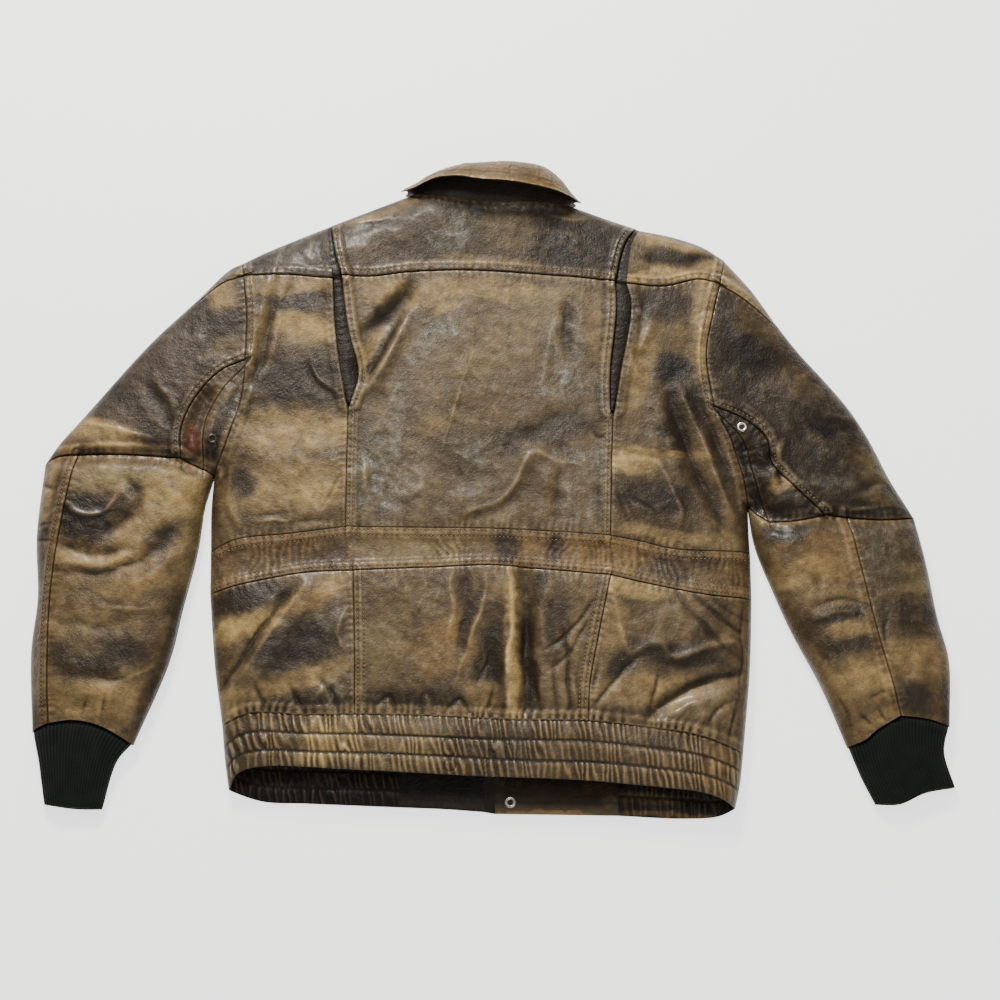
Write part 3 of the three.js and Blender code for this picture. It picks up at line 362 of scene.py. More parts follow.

# %% [markdown]
# ## Creases, placed one by one
# The jacket's character is in how it has been worn: deep drags from the pleats, folds at the
# armpits, drapes over the hem. Each is a trough, or a ridge where the depth is below zero,
# along a short curve. It fades at both ends, and sideways over its reach; a power under 2 makes
# it sharp at the bottom, as folded hide is.

# %% Creases of the back and the sleeves
CREASES = [  # route, depth, reach, sharpness
    # yokes
    ([[-170, 307], [-145, 315], [-118, 319]], -1.3, 5, 1.6),
    ([[-160, 296], [-130, 306], [-100, 308]], 0.9, 6, 1.8),
    ([[55, 319], [85, 314], [112, 316]], -1.2, 4, 1.5),
    ([[60, 306], [90, 303], [122, 298]], 1.2, 5, 1.8),
    ([[135, 300], [128, 285], [132, 268]], 1.2, 7, 1.8),
    ([[-222, 300], [-233, 280], [-240, 258]], 2.6, 7, 1.8),
    ([[-230, 292], [-238, 275], [-245, 255]], -1.6, 4, 1.5),
    ([[-203, 300], [-196, 275], [-192, 252]], 2.2, 8, 1.8),
    ([[165, 292], [200, 284], [245, 273]], -2.2, 8, 1.8),
    ([[168, 270], [208, 262], [248, 274]], 4.0, 9, 1.7),
    # left side panel
    ([[-243, 256], [-260, 205], [-268, 150], [-274, 112]], -3.4, 8, 1.7),
    ([[-240, 250], [-252, 190], [-260, 135], [-288, 84]], 3.6, 7, 1.6),
    ([[-236, 236], [-243, 185], [-254, 135], [-280, 88], [-298, 50]], -2.8, 8, 1.7),
    ([[-224, 242], [-236, 212], [-240, 196]], 2.4, 6, 1.6),
    ([[-205, 232], [-188, 216], [-183, 202]], 1.8, 7, 1.7),
    ([[-203, 143], [-190, 122], [-168, 103]], -1.6, 2.4, 1.4),
    ([[-206, 140], [-194, 118], [-172, 99]], 1.6, 4, 1.5),
    ([[-165, 16], [-178, -8], [-190, -26]], 0.9, 2.5, 1.4),
    ([[-288, 30], [-286, -24], [-272, -48]], -1.6, 5, 1.7),
    ([[-278, 70], [-240, 74], [-195, 64]], 1.2, 12, 1.8),
    ([[-270, 40], [-230, 30], [-180, 34]], -1.0, 14, 1.8),
    ([[-258, -40], [-240, -38], [-222, -40], [-222, -30]], -1.1, 2, 1.4),
    ([[-262, -33], [-240, -31], [-212, -30]], 1.2, 3, 1.4),
    ([[-218, -42], [-190, -38], [-165, -40]], 1.3, 4, 1.6),
    # centre back
    ([[-86, 240], [-112, 206], [-146, 177]], 6.0, 10, 1.8),
    ([[-90, 208], [-116, 152], [-150, 94]], -2.8, 5, 1.5),
    ([[-106, 190], [-128, 150], [-148, 118]], 4.4, 6, 1.6),
    ([[-76, 232], [-92, 214], [-98, 196]], -2.0, 9, 1.8),
    ([[82, 216], [82, 180], [84, 148]], 3.0, 8, 1.8),
    ([[70, 194], [64, 160], [55, 122]], -2.2, 6, 1.7),
    ([[98, 205], [100, 175], [108, 145]], -1.2, 8, 1.8),
    ([[-20, 156], [-36, 110], [-56, 34]], -0.6, 2.2, 1.4),
    ([[-40, -40], [-20, -29], [5, -19], [25, 3], [32, 22], [48, 37], [78, 28], [97, 24]], -2.1, 4, 1.5),
    ([[-34, -44], [5, -28], [34, -4], [44, 18]], 1.8, 9, 1.8),
    ([[72, 24], [71, -8], [70, -42]], 3.0, 8, 1.7),
    ([[-104, 122], [-120, 88], [-136, 56]], -1.3, 6, 1.8),
    ([[-112, 112], [-130, 75]], 1.2, 7, 1.8),
    ([[-110, 2], [-100, 20], [-84, 16], [-80, 0], [-92, -12], [-106, -8]], -0.7, 4, 1.5),
    ([[-143, 30], [-141, 5], [-136, -12]], -1.6, 4, 1.6),
    ([[110, 64], [118, 56], [124, 60]], 1.4, 3, 1.4),
    ([[5, 40], [50, 66], [104, 92]], 1.6, 14, 1.8),
    ([[-64, 60], [-52, 10], [-58, -36]], 1.0, 14, 1.8),
    # right side panel and its drag towards the armpit
    ([[192, 112], [210, 62], [226, 8], [256, -50]], 6.2, 8, 1.7),
    ([[207, 112], [232, 52], [248, 2], [262, -34]], -3.2, 6, 1.6),
    ([[222, 102], [244, 56], [262, 12]], 3.4, 6, 1.6),
    ([[178, 108], [196, 40], [206, -10]], -1.6, 9, 1.8),
    ([[150, 164], [158, 132], [165, 112]], -2.0, 6, 1.7),
    ([[155, 207], [165, 190], [168, 174]], 1.6, 4, 1.5),
    ([[178, 190], [168, 165], [160, 150]], -1.8, 5, 1.6),
    ([[135, -4], [152, -46]], 1.2, 2.6, 1.4),
    ([[142, -6], [160, -46]], 1.1, 2.6, 1.4),
    ([[150, -12], [172, -24], [182, -44]], 1.4, 3, 1.5),
    ([[178, 30], [194, 4], [205, -28], [202, -50]], -1.8, 4, 1.5),
    ([[236, 236], [232, 180], [230, 116]], -1.8, 6, 1.8),
    ([[135, 48], [165, 36], [212, 32]], 1.0, 4, 1.6),
    # lower back, left
    ([[-212, -108], [-246, -156], [-276, -200], [-298, -238]], 4.4, 5, 1.5),
    ([[-204, -112], [-237, -160], [-268, -210]], -2.0, 4, 1.6),
    ([[-228, -112], [-262, -150], [-292, -186]], -1.4, 8, 1.8),
    ([[-158, -138], [-166, -162], [-158, -186]], -1.3, 4, 1.6),
    ([[-252, -222], [-240, -252]], 2.6, 4, 1.5),
    ([[-216, -222], [-199, -252]], 3.0, 4, 1.5),
    ([[-184, -212], [-170, -232], [-162, -252]], 2.6, 4, 1.5),
    ([[-192, -240], [-182, -226], [-160, -214]], -1.8, 5, 1.6),
    # lower back, centre
    ([[36, -98], [36, -170], [38, -256]], 6.4, 9, 1.7),
    ([[19, -92], [22, -150], [17, -215], [22, -256]], -4.4, 5, 1.6),
    ([[6, -130], [-2, -180], [2, -240]], 2.4, 8, 1.8),
    ([[-9, -94], [-8, -116], [-20, -160], [-42, -222]], -2.2, 4, 1.5),
    ([[-26, -94], [-30, -140], [-38, -196]], 3.0, 7, 1.7),
    ([[-45, -94], [-43, -130], [-45, -164]], -2.0, 5, 1.6),
    ([[55, -182], [84, -162], [108, -130]], 2.4, 3, 1.4),
    ([[60, -206], [88, -178], [104, -150]], 1.8, 3, 1.4),
    ([[78, -160], [80, -200], [81, -256]], 3.0, 4, 1.5),
    ([[66, -196], [68, -256]], 1.4, 3, 1.5),
    ([[90, -205], [92, -256]], 1.2, 3, 1.5),
    ([[44, -212], [51, -254]], 2.2, 4, 1.5),
    ([[60, -110], [54, -150], [58, -190]], -1.8, 7, 1.8),
    ([[-52, -254], [-34, -236], [-18, -256]], 2.8, 3, 1.4),
    ([[-15, -216], [2, -180]], 1.4, 3, 1.4),
    ([[-132, -246], [-112, -232], [-104, -252]], 2.8, 3.4, 1.4),
    ([[-82, -252], [-70, -228], [-56, -250]], 1.8, 4, 1.6),
    ([[2, -222], [-4, -252]], 1.8, 3, 1.5),
    # lower back, right
    ([[104, -246], [130, -216], [156, -190]], 2.2, 3, 1.4),
    ([[104, -236], [113, -198]], 1.6, 3, 1.5),
    ([[165, -258], [200, -227], [268, -207]], 5.4, 6, 1.6),
    ([[186, -254], [206, -240], [240, -232]], -2.0, 6, 1.7),
    ([[150, -186], [180, -175], [196, -190], [230, -181], [268, -172]], -2.6, 6, 1.7),
    ([[195, -116], [230, -160], [268, -196]], 2.8, 5, 1.6),
    ([[216, -118], [245, -146], [272, -166]], 2.6, 4, 1.5),
    ([[236, -120], [256, -140], [274, -148]], 1.6, 3.4, 1.5),
    ([[126, -108], [136, -150], [150, -190]], -1.6, 5, 1.6),
    ([[176, -208], [168, -252]], 1.6, 3, 1.5),
    ([[262, -238], [250, -286]], 1.6, 2, 1.4),
    ([[272, -128], [264, -236]], 1.2, 2, 1.4),
    ([[226, -270], [236, -250], [258, -236]], 1.8, 4, 1.6),
    # left sleeve
    ([[-452, 76], [-400, 63], [-362, 48]], -1.3, 3, 1.4),
    ([[-386, 122], [-365, 92], [-352, 68]], 2.8, 8, 1.7),
    ([[-374, 126], [-354, 92], [-350, 76]], -1.6, 5, 1.6),
    ([[-300, 176], [-330, 150], [-352, 118]], 1.8, 12, 1.8),
    ([[-478, 44], [-430, 46], [-370, 42]], -2.2, 6, 1.7),
    ([[-404, 14], [-388, -18], [-408, -44], [-442, -64]], 4.4, 8, 1.7),
    ([[-472, -17], [-446, -33], [-426, -28], [-412, -8]], -2.6, 4, 1.5),
    ([[-474, -62], [-432, -76], [-392, -70]], 3.2, 7, 1.7),
    ([[-478, -82], [-436, -90], [-390, -82]], -2.0, 7, 1.8),
    ([[-452, -98], [-402, -92], [-366, -68], [-348, -36]], 4.0, 7, 1.7),
    ([[-402, -114], [-370, -99], [-338, -66]], -2.4, 8, 1.8),
    ([[-428, -134], [-392, -138], [-362, -136]], -1.0, 2.6, 1.5),
    ([[-480, -146], [-430, -156], [-370, -146]], 1.8, 10, 1.8),
    ([[-476, -208], [-430, -212], [-400, -214], [-352, -198]], 2.2, 6, 1.7),
    ([[-404, -218], [-376, -206], [-356, -192]], -1.8, 4, 1.6),
    ([[-470, -226], [-430, -228], [-390, -236]], -1.4, 8, 1.8),
    ([[-504, 12], [-482, -2]], 1.8, 3, 1.5),
    ([[-505, -40], [-482, -42]], 1.6, 1.6, 1.5),
    ([[-505, -57], [-482, -59]], 1.8, 1.6, 1.5),
    ([[-352, 30], [-338, 16], [-322, 18]], 1.6, 5, 1.6),
    ([[-432, -232], [-440, -256]], 1.2, 3, 1.5),
    ([[-412, -228], [-418, -258]], 1.2, 3, 1.5),
    # right sleeve
    ([[300, 42], [312, 21], [318, 0]], 4.4, 5, 1.5),
    ([[320, 48], [312, 27], [306, 12]], -2.2, 3.4, 1.5),
    ([[282, -2], [300, -24], [328, -35]], 6.0, 8, 1.7),
    ([[280, -12], [290, -34], [330, -44]], -2.2, 5, 1.6),
    ([[278, 32], [296, 22], [306, 30]], 3.0, 7, 1.7),
    ([[262, 90], [288, 74], [303, 54]], 2.0, 3, 1.4),
    ([[268, 96], [295, 82], [316, 56]], -1.4, 3, 1.5),
    ([[330, 72], [352, 44]], 1.8, 6, 1.7),
    ([[322, 60], [320, 30], [332, 6]], -1.4, 5, 1.7),
    ([[345, 80], [372, 70], [402, 64]], 3.4, 10, 1.7),
    ([[318, 110], [350, 92], [392, 80]], -2.0, 8, 1.8),
    ([[252, 170], [290, 140], [330, 126]], 2.6, 12, 1.8),
    ([[400, -6], [426, 6], [444, -14]], 2.2, 6, 1.7),
    ([[388, -27], [430, -22], [456, -24]], -1.8, 3, 1.5),
    ([[322, 4], [350, 2], [380, -10]], -1.6, 6, 1.7),
    ([[300, -46], [330, -50], [352, -42]], 2.8, 7, 1.7),
    ([[346, -134], [380, -127], [408, -135]], 2.2, 4, 1.6),
    ([[346, -146], [382, -140], [410, -146]], -1.4, 4, 1.7),
    ([[425, -146], [419, -160], [421, -176]], 1.2, 2.4, 1.4),
    ([[340, -96], [352, -110], [350, -124]], 1.4, 6, 1.8),
    ([[368, -228], [380, -250], [384, -272]], 2.6, 4, 1.6),
    ([[400, -236], [418, -226], [432, -232]], 1.6, 4, 1.6),
    ([[392, -250], [404, -262]], 1.8, 3, 1.5),
    ([[412, -244], [420, -258]], 1.6, 3, 1.5),
    ([[436, -170], [428, -200], [446, -240]], -1.2, 8, 1.8),
]

# %% [markdown]
# ## Seams
# Where two pieces of hide are sewn, one laps over the other. The seam shows as a dark groove,
# the lapped side stands a little proud for the width of its turning, and each row of topstitch
# draws the hide in, so it puckers between the stitches. A seam is listed with the side that
# laps (1 is the left of its direction) and the distances of its stitch rows.

# %% Seams of the back and the sleeves
LAP_WIDTH, GROOVE = 10.0, 1.1


def across(name, middle):
    """A seam that runs right across the back: left half, middle, right half."""
    return joined(smooth(LEFT[name], 10), smooth(middle, 10), smooth(RIGHT[name], 10)[::-1])


SEAMS = [  # name, curve, lapped side, stitch rows, lap
    ("yoke", smooth(YOKE_SEAM, 10), 1, [6.5], 1.2),
    ("strip_top", across("strip_top", STRIP_TOP), -1, [2.6, 8.6], 1.0),
    ("strip_low", across("strip_low", STRIP_LOW), 1, [2.6, 8.6], 1.0),
    ("hem_top", across("hem_top", HEM_TOP), 1, [], 1.6),
    ("neck", smooth(NECK, 10), -1, [], 0.5),
]
for side_name, half in HALVES.items():
    s = 1 if side_name == "left" else -1
    curve = {name: smooth(route, 10) for name, route in half.items() if name != "eyelet"}
    SEAMS += [
        ("yoke_side", curve["yoke_side"], s, [6.0] if s < 0 else [], 1.4),
        ("pleat_high", curve["pleat_back_high"], s, [5.0], 1.6),
        ("pleat_low", curve["pleat_back_low"], s, [5.5], 1.8),
        ("pleat_side", curve["pleat_side_low"], -s, [], 1.2),
        ("back_low", curve["back_low"], s, [2.8, 8.0], 1.2),
        ("lower", curve["lower_seam"], s, [3.6, 10.0], 1.0),
        ("armhole", joined(curve["armhole_top"], curve["armhole_mid"]), s, [6.0], 1.6),
        ("armhole_low", curve["armhole_low"], s, [], 1.4),
        ("gusset_arc", curve["gusset_arc"], -s, [4.5], 1.3),
        ("gusset_ridge", curve["gusset_ridge"], s, [], 1.3),
        ("elbow", joined(curve["elbow_out"], curve["elbow_mid"]), s, [], 1.6),
        ("elbow_in", joined(curve["elbow_gusset"], curve["elbow_pit"]), s, [], 1.2),
        ("forearm", curve["fore_seam"], -1, [6.0] if s > 0 else [], 1.2),
        ("sleeve_strip", curve["strip_seam"], -s, [], 1.0),
    ]
GATHERED = {"hem_top": 1.3}


def seam_relief(x, y):
    """Height and wear beside the seams. The groove is a narrow squared exponential, the lap is
    level up to its width and then fades, and stitch rows dip and pucker in waves."""
    height, wear = np.zeros(x.shape), np.zeros(x.shape)
    for name, line, lapped, rows, lap in SEAMS:
        distance, side, at = nearest(x, y, line, 24)
        inside = np.isfinite(distance)
        d, on, s = distance[inside], side[inside] == lapped, at[inside]
        part = -GROOVE * np.exp(-(d / 1.0) ** 2) * np.where(on, 0.5, 1.0)
        part += np.where(on, lap * (1 - ease(LAP_WIDTH - 3, LAP_WIDTH + 4, d)), 0)
        uneven = noise(s, d, 24, 3)
        pucker = np.sin(2 * np.pi * (s / 8.5 + 0.8 * uneven)) * (0.6 + 0.6 * uneven)
        strength = GATHERED.get(name, 0.42 if rows else 0.3)
        part += strength * np.abs(pucker) ** 0.8 * np.sign(pucker) * np.exp(-d / 7.0) * ease(0.3, 2, d)
        rub_and_shading = 0.4 * np.exp(-((d - 1.7) / 0.9) ** 2) * on - 0.45 * np.exp(-(d / 0.9) ** 2)
        for row in rows:
            gap = (d - row) / 1.0
            part += np.where(on, -0.5 * np.exp(-gap**2), 0)
            part += np.where(on, 0.08 * np.sin(2 * np.pi * s / 4.4) * np.exp(-(gap / 2.0) ** 2), 0)
            rub_and_shading += np.where(on, -0.35 * np.exp(-gap**2), 0)
        height[inside] += part
        wear[inside] += rub_and_shading * (0.7 + 0.5 * noise(s, d, 30, 8))
    return height, wear


def relief(x, y):
    """Height that the hide's creases, seams and unevenness add, and its wear at the seams."""
    wx, wy = x + 2.2 * noise(x, y, 26, 31), y + 2.2 * noise(x, y, 26, 32)
    height = 1.5 * clouds(x, y, 70, 1, 2) + 0.8 * clouds(x, y, 24, 2, 2)
    height += 0.42 * clouds(wx + 0.5 * wy, wy - 0.3 * wx, 10, 3, 3)
    for route, depth, reach, power in CREASES:
        line = smooth(route, 6)
        distance, _, at = nearest(wx, wy, line, 3.2 * reach)
        inside = np.isfinite(distance)
        share = at[inside] / length(line)
        fade = np.clip(np.sin(np.pi * np.clip(share * 0.9 + 0.05, 0, 1)), 0, 1) ** 0.7
        fade *= 0.8 * (1 + 0.4 * noise(at[inside], depth + 0 * share, 16, 33))
        past = np.exp(-(distance[inside] / reach) ** power)
        height[inside] -= depth * fade * past
    seams, wear = seam_relief(x, y)
    return height + seams, wear


print(len(CREASES), "creases,", len(SEAMS), "seams")

# %% [markdown]
# ## The colours of worn hide
# The hide was dyed in waxy tan and has rubbed, darkened and dried in patches, so its colour
# belongs to places on the garment and not to a repeating pattern. Each piece starts from its
# own brown, and soft-edged blots of other tones are laid on it one by one. Noise bends their
# outlines, so none is a plain oval. The result is kept on the points of the mesh.
# Some tones here are painted light, not the hide's own: grey sheen and pale highlights on glossy patches, and dark
# shade along deep creases, in the armpits, in the pleats and under the back hem.

# %% Tones and blots


def tone(red, green, blue):
    """A screen colour from 0 to 255 as linear light."""
    c = np.array([red, green, blue]) / 255
    return np.where(c < 0.04045, c / 12.92, ((c + 0.055) / 1.055) ** 2.4)


def dyed(red, green, blue):
    """A hide's screen colour as linear light, deepened to allow for the sheen that lies on it."""
    light = tone(red, green, blue) ** 1.27
    grey = light @ [0.3, 0.6, 0.1]
    return 1.34 * (0.87 * light + 0.13 * grey) * grey ** 0.1


TONES = {
    "tan": dyed(152, 129, 84), "gold": dyed(170, 146, 92), "honey": dyed(142, 116, 70),
    "olive": dyed(116, 99, 64), "wheat": dyed(142, 125, 86), "brown": dyed(98, 80, 54),
    # The near-black tone serves for the hide's darkest patches, and also as painted shade along the deepest creases and
    # in the armpits.
    "dark": dyed(47, 38, 27), "plum": dyed(67, 56, 46), "near_black": dyed(26, 19, 12),
    # The blue-grey and pale tones here are painted light: the lamp's sheen on glossy patches, and bright highlights.
    "painted_sheen": dyed(104, 97, 82), "pale": dyed(140, 128, 104), "rust": dyed(112, 64, 44),
    # The last tone here is painted shade for the bottoms of deep creases.
    "cuff": tone(15, 19, 15), "painted_crease_shade": dyed(34, 27, 18),
}
# Painted light among the blots: the grey sheen and pale blots paint sheen and highlights, and the darkest strips along
# deep creases and in the armpits paint shade.
BLOTS = {  # piece: (x, y, half width, half height, turn in degrees, tone, strength)
    "back_yoke": [
        (-45, 292, 30, 24, 40, "painted_sheen", 0.6), (-118, 327, 42, 6, 18, "honey", 0.6),
        (-15, 262, 62, 7, 0, "tan", 0.45), (-130, 285, 36, 24, 15, "brown", 0.4),
        (88, 284, 58, 30, -10, "dark", 0.85), (20, 300, 30, 26, 0, "olive", 0.5),
        (62, 327, 40, 7, -5, "painted_sheen", 0.35), (150, 288, 11, 24, 0, "dark", 0.6),
        (-60, 335, 60, 7, 8, "brown", 0.5), (-88, 262, 18, 8, 10, "olive", 0.4)],
    "yoke_side_left": [
        (-232, 278, 9, 20, -30, "painted_sheen", 0.3), (-268, 256, 22, 12, 30, "dark", 0.6),
        (-208, 288, 32, 12, 20, "plum", 0.5), (-215, 296, 40, 4, 22, "brown", 0.5)],
    "yoke_side_right": [
        (195, 287, 42, 9, -12, "tan", 0.5), (212, 268, 42, 9, 2, "dark", 0.75),
        (190, 246, 46, 7, 5, "gold", 0.55), (242, 258, 16, 14, 40, "tan", 0.5),
        (158, 285, 9, 14, 0, "painted_sheen", 0.4)],
    "back_side_left": [
        (-222, 232, 40, 9, 8, "tan", 0.8), (-225, 211, 42, 11, 5, "plum", 0.9),
        (-208, 183, 31, 17, 0, "gold", 0.95), (-258, 185, 12, 34, -8, "olive", 0.5),
        (-214, 121, 52, 33, 5, "plum", 0.85), (-214, 100, 50, 12, 3, "dark", 0.35),
        (-222, 62, 56, 27, 0, "tan", 0.9), (-182, 60, 20, 15, 0, "gold", 0.7),
        (-226, 2, 66, 30, 0, "tan", 0.9), (-210, -8, 34, 12, 0, "gold", 0.5),
        (-274, 6, 17, 21, 25, "plum", 0.9), (-212, -38, 52, 7, 0, "olive", 0.75),
        (-284, -30, 10, 26, 0, "wheat", 0.4), (-188, 24, 26, 6, 0, "honey", 0.45),
        (-268, 236, 11, 10, 0, "tan", 0.6), (-236, 92, 40, 7, 4, "olive", 0.4)],
    "back_centre": [
        (-95, 226, 66, 15, 0, "tan", 0.7), (0, 227, 78, 14, -4, "tan", 0.65),
        # The two blackish strips here are painted shade in deep creases running down from the yoke.
        (-136, 160, 13, 24, -28, "tan", 0.6), (-118, 208, 38, 11, 46, "painted_crease_shade", 0.75),
        (-129, 154, 34, 5, 60, "painted_crease_shade", 0.6), (-58, 183, 25, 15, 22, "painted_sheen", 0.7),
        (-52, 207, 12, 5, 20, "gold", 0.6), (-82, 152, 16, 10, 30, "painted_sheen", 0.4),
        (-48, 120, 14, 10, 30, "painted_sheen", 0.4), (-106, 92, 12, 32, -6, "painted_sheen", 0.5),
        (-66, 66, 17, 12, 0, "honey", 0.45), (-124, 12, 30, 52, 0, "painted_sheen", 0.75),
        (-92, 4, 18, 18, 0, "pale", 0.45), (-143, 15, 6, 18, 0, "pale", 0.45),
        (-30, 100, 44, 44, 0, "olive", 0.4), (-32, 40, 34, 24, 0, "plum", 0.4),
        # The blackish strip at x 82 is painted shade in its crease; the grey strip beside it is painted sheen on the
        # ridge.
        (82, 185, 8, 34, -2, "painted_crease_shade", 0.6), (66, 166, 5, 28, -12, "painted_sheen", 0.55),
        (82, 116, 32, 20, 14, "painted_sheen", 0.6), (122, 104, 11, 24, 0, "painted_sheen", 0.55),
        (56, 62, 58, 19, 14, "dark", 0.65), (-10, 160, 46, 34, 0, "wheat", 0.3),
        (118, 178, 13, 42, 0, "tan", 0.4), (34, 204, 40, 22, 0, "wheat", 0.4),
        (-15, 32, 17, 20, 0, "painted_sheen", 0.55), (-22, -2, 22, 8, 8, "pale", 0.35),
        (52, -8, 28, 30, 0, "brown", 0.7), (95, -20, 18, 28, 0, "painted_sheen", 0.35),
        (98, 34, 24, 16, 0, "painted_sheen", 0.35), (8, -32, 60, 10, 6, "olive", 0.5),
        (126, 34, 7, 20, 0, "painted_sheen", 0.5), (126, -4, 7, 18, 0, "pale", 0.4)],
    "back_side_right": [
        (190, 212, 36, 18, 0, "plum", 0.9), (236, 186, 12, 62, -4, "tan", 0.85),
        (198, 170, 28, 19, 0, "olive", 0.7), (202, 135, 24, 16, 0, "near_black", 0.95),
        (163, 132, 13, 48, -12, "tan", 0.75), (162, 184, 11, 17, -15, "painted_sheen", 0.5),
        (208, 82, 22, 40, -6, "dark", 0.85), (155, 30, 26, 15, 0, "gold", 0.95),
        (206, 36, 34, 5, -6, "tan", 0.75), (176, -12, 46, 21, -10, "plum", 0.9),
        (243, 60, 16, 60, 15, "plum", 0.5), (184, -54, 50, 7, -8, "tan", 0.65),
        (244, -60, 26, 9, -5, "wheat", 0.5), (150, 76, 13, 20, 0, "olive", 0.5),
        # The near-black strip here is painted shade in the deep drag crease towards the armpit.
        (176, 64, 8, 9, 0, "painted_sheen", 0.4), (226, 6, 16, 40, 20, "near_black", 0.4)],
    "waist_strip": [
        (-252, -85, 56, 24, 0, "brown", 0.4), (-172, -76, 20, 22, 0, "plum", 0.6),
        (-84, -70, 64, 20, 0, "wheat", 0.6), (16, -68, 14, 20, 0, "plum", 0.9),
        (42, -66, 9, 13, 0, "honey", 0.7), (68, -70, 9, 19, -25, "plum", 0.9),
        (122, -78, 44, 19, -6, "honey", 0.7), (192, -92, 20, 20, 0, "plum", 0.75),
        (246, -98, 36, 20, 0, "olive", 0.6), (228, -84, 20, 10, -10, "dark", 0.6)],
    "lower_back_left": [
        (-264, -124, 46, 17, 18, "dark", 0.9), (-270, -160, 40, 12, 22, "gold", 0.85),
        (-190, -120, 44, 14, 28, "honey", 0.7), (-176, -112, 22, 8, 20, "gold", 0.4),
        (-212, -178, 54, 24, 22, "plum", 0.95), (-204, -213, 60, 10, 22, "tan", 0.85),
        (-195, -238, 48, 12, 6, "plum", 0.8), (-282, -238, 16, 12, 0, "tan", 0.6),
        (-290, -196, 14, 26, -10, "brown", 0.6), (-165, -140, 9, 16, 0, "painted_sheen", 0.5),
        (-172, -226, 14, 16, 0, "painted_sheen", 0.45)],
    "lower_back_centre": [
        (-54, -180, 30, 34, -20, "honey", 0.75), (-110, -120, 36, 16, 0, "olive", 0.5),
        (-118, -176, 26, 34, 0, "wheat", 0.4), (-30, -112, 9, 24, 0, "plum", 0.6),
        # The dark strip at x -5 and the near-black strip at x 38 are painted shade in fold troughs.
        (-5, -196, 15, 54, -5, "dark", 0.85), (19, -176, 6, 84, 1, "gold", 0.95),
        (38, -200, 9, 54, 0, "near_black", 0.85), (12, -108, 10, 18, 0, "tan", 0.5),
        (68, -160, 16, 42, 0, "plum", 0.75), (90, -202, 8, 46, 0, "olive", 0.5),
        (-60, -238, 44, 12, 0, "dark", 0.65), (-112, -236, 30, 12, 0, "dark", 0.6),
        (-24, -150, 6, 44, -20, "dark", 0.6), (50, -118, 9, 22, -10, "dark", 0.6),
        (-10, -232, 16, 14, 0, "tan", 0.5), (86, -112, 14, 14, 0, "olive", 0.4)],
    "lower_back_right": [
        (150, -118, 34, 9, -8, "gold", 0.85), (134, -156, 12, 38, 0, "tan", 0.65),
        (138, -197, 15, 14, 0, "dark", 0.85), (200, -186, 52, 13, -2, "dark", 0.8),
        (196, -150, 46, 14, -15, "olive", 0.5), (168, -226, 54, 17, 5, "tan", 0.75),
        (236, -148, 18, 32, -30, "dark", 0.65), (232, -242, 30, 11, 10, "wheat", 0.6),
        (260, -200, 8, 60, 0, "brown", 0.5), (185, -205, 8, 8, 0, "plum", 0.6)],
    "hem_band_back": [
        (-182, -282, 20, 24, 0, "gold", 0.6), (-150, -282, 14, 24, 0, "gold", 0.5),
        (-210, -270, 9, 16, 0, "dark", 0.4), (-258, -288, 22, 28, 0, "plum", 0.4),
        (-96, -290, 40, 26, 0, "wheat", 0.35), (0, -288, 44, 30, 0, "plum", 0.6),
        (120, -290, 50, 28, -5, "brown", 0.45), (180, -282, 22, 10, -5, "dark", 0.5),
        (244, -318, 16, 30, 0, "honey", 0.5)],
    # The front band's dark blots are painted shade under the lifted back hem.
    "hem_band_front_left": [(-100, -340, 30, 10, 0, "dark", 0.7), (-200, -330, 60, 14, 0, "near_black", 0.5)],
    "hem_band_front_right": [(165, -338, 34, 5, -4, "olive", 0.6), (200, -355, 70, 3, -4, "honey", 0.8)],
    "hem_facing": [(-30, -356, 60, 3, -3, "honey", 0.8)],
    "hem_tab": [(70, -318, 70, 8, -2, "cuff", 0.7), (70, -356, 76, 4, 0, "honey", 0.9),
                (125, -340, 8, 5, 0, "wheat", 0.4)],
    "sleeve_strip_right": [(275, 240, 16, 8, -45, "wheat", 0.6), (300, 214, 12, 8, -45, "olive", 0.5)],
    "sleeve_upper_left": [
        (-302, 224, 18, 19, 10, "tan", 0.8), (-296, 190, 20, 16, 0, "plum", 0.6),
        (-296, 160, 24, 12, 10, "wheat", 0.35), (-330, 195, 24, 24, 0, "dark", 0.4),
        (-434, 58, 44, 17, -14, "tan", 0.95), (-470, 46, 16, 10, 20, "honey", 0.6),
        (-392, 108, 34, 26, 0, "plum", 0.5), (-368, 62, 26, 9, -10, "plum", 0.6),
        (-440, 110, 26, 20, 40, "dark", 0.4)],
    "sleeve_upper_right": [
        (304, 190, 34, 22, -35, "olive", 0.5), (288, 152, 34, 22, 0, "dark", 0.9),
        # The near-black blot here is painted shade in a crease of the upper sleeve.
        (376, 62, 34, 10, -18, "near_black", 0.9), (338, 122, 30, 15, -25, "brown", 0.5),
        (352, 88, 40, 8, -30, "plum", 0.5), (420, 26, 26, 20, -45, "olive", 0.65),
        (356, 34, 32, 16, -10, "plum", 0.55), (360, 4, 34, 8, -5, "painted_sheen", 0.4),
        (428, -14, 30, 8, 0, "olive", 0.4)],
    # The near-black blots in the armpit gussets below are painted shade in the armpit folds.
    "gusset_upper_left": [(-336, 56, 8, 16, 5, "rust", 0.85), (-300, 110, 16, 10, 60, "olive", 0.5)],
    "gusset_lower_left": [(-292, 100, 12, 26, -30, "painted_sheen", 0.35), (-310, 48, 9, 18, 10, "near_black", 0.85)],
    "gusset_upper_right": [
        (302, 34, 10, 16, 0, "near_black", 0.7), (316, 2, 12, 9, 0, "honey", 0.85),
        (276, 76, 14, 8, -30, "plum", 0.6), (345, -18, 18, 7, -20, "painted_sheen", 0.4)],
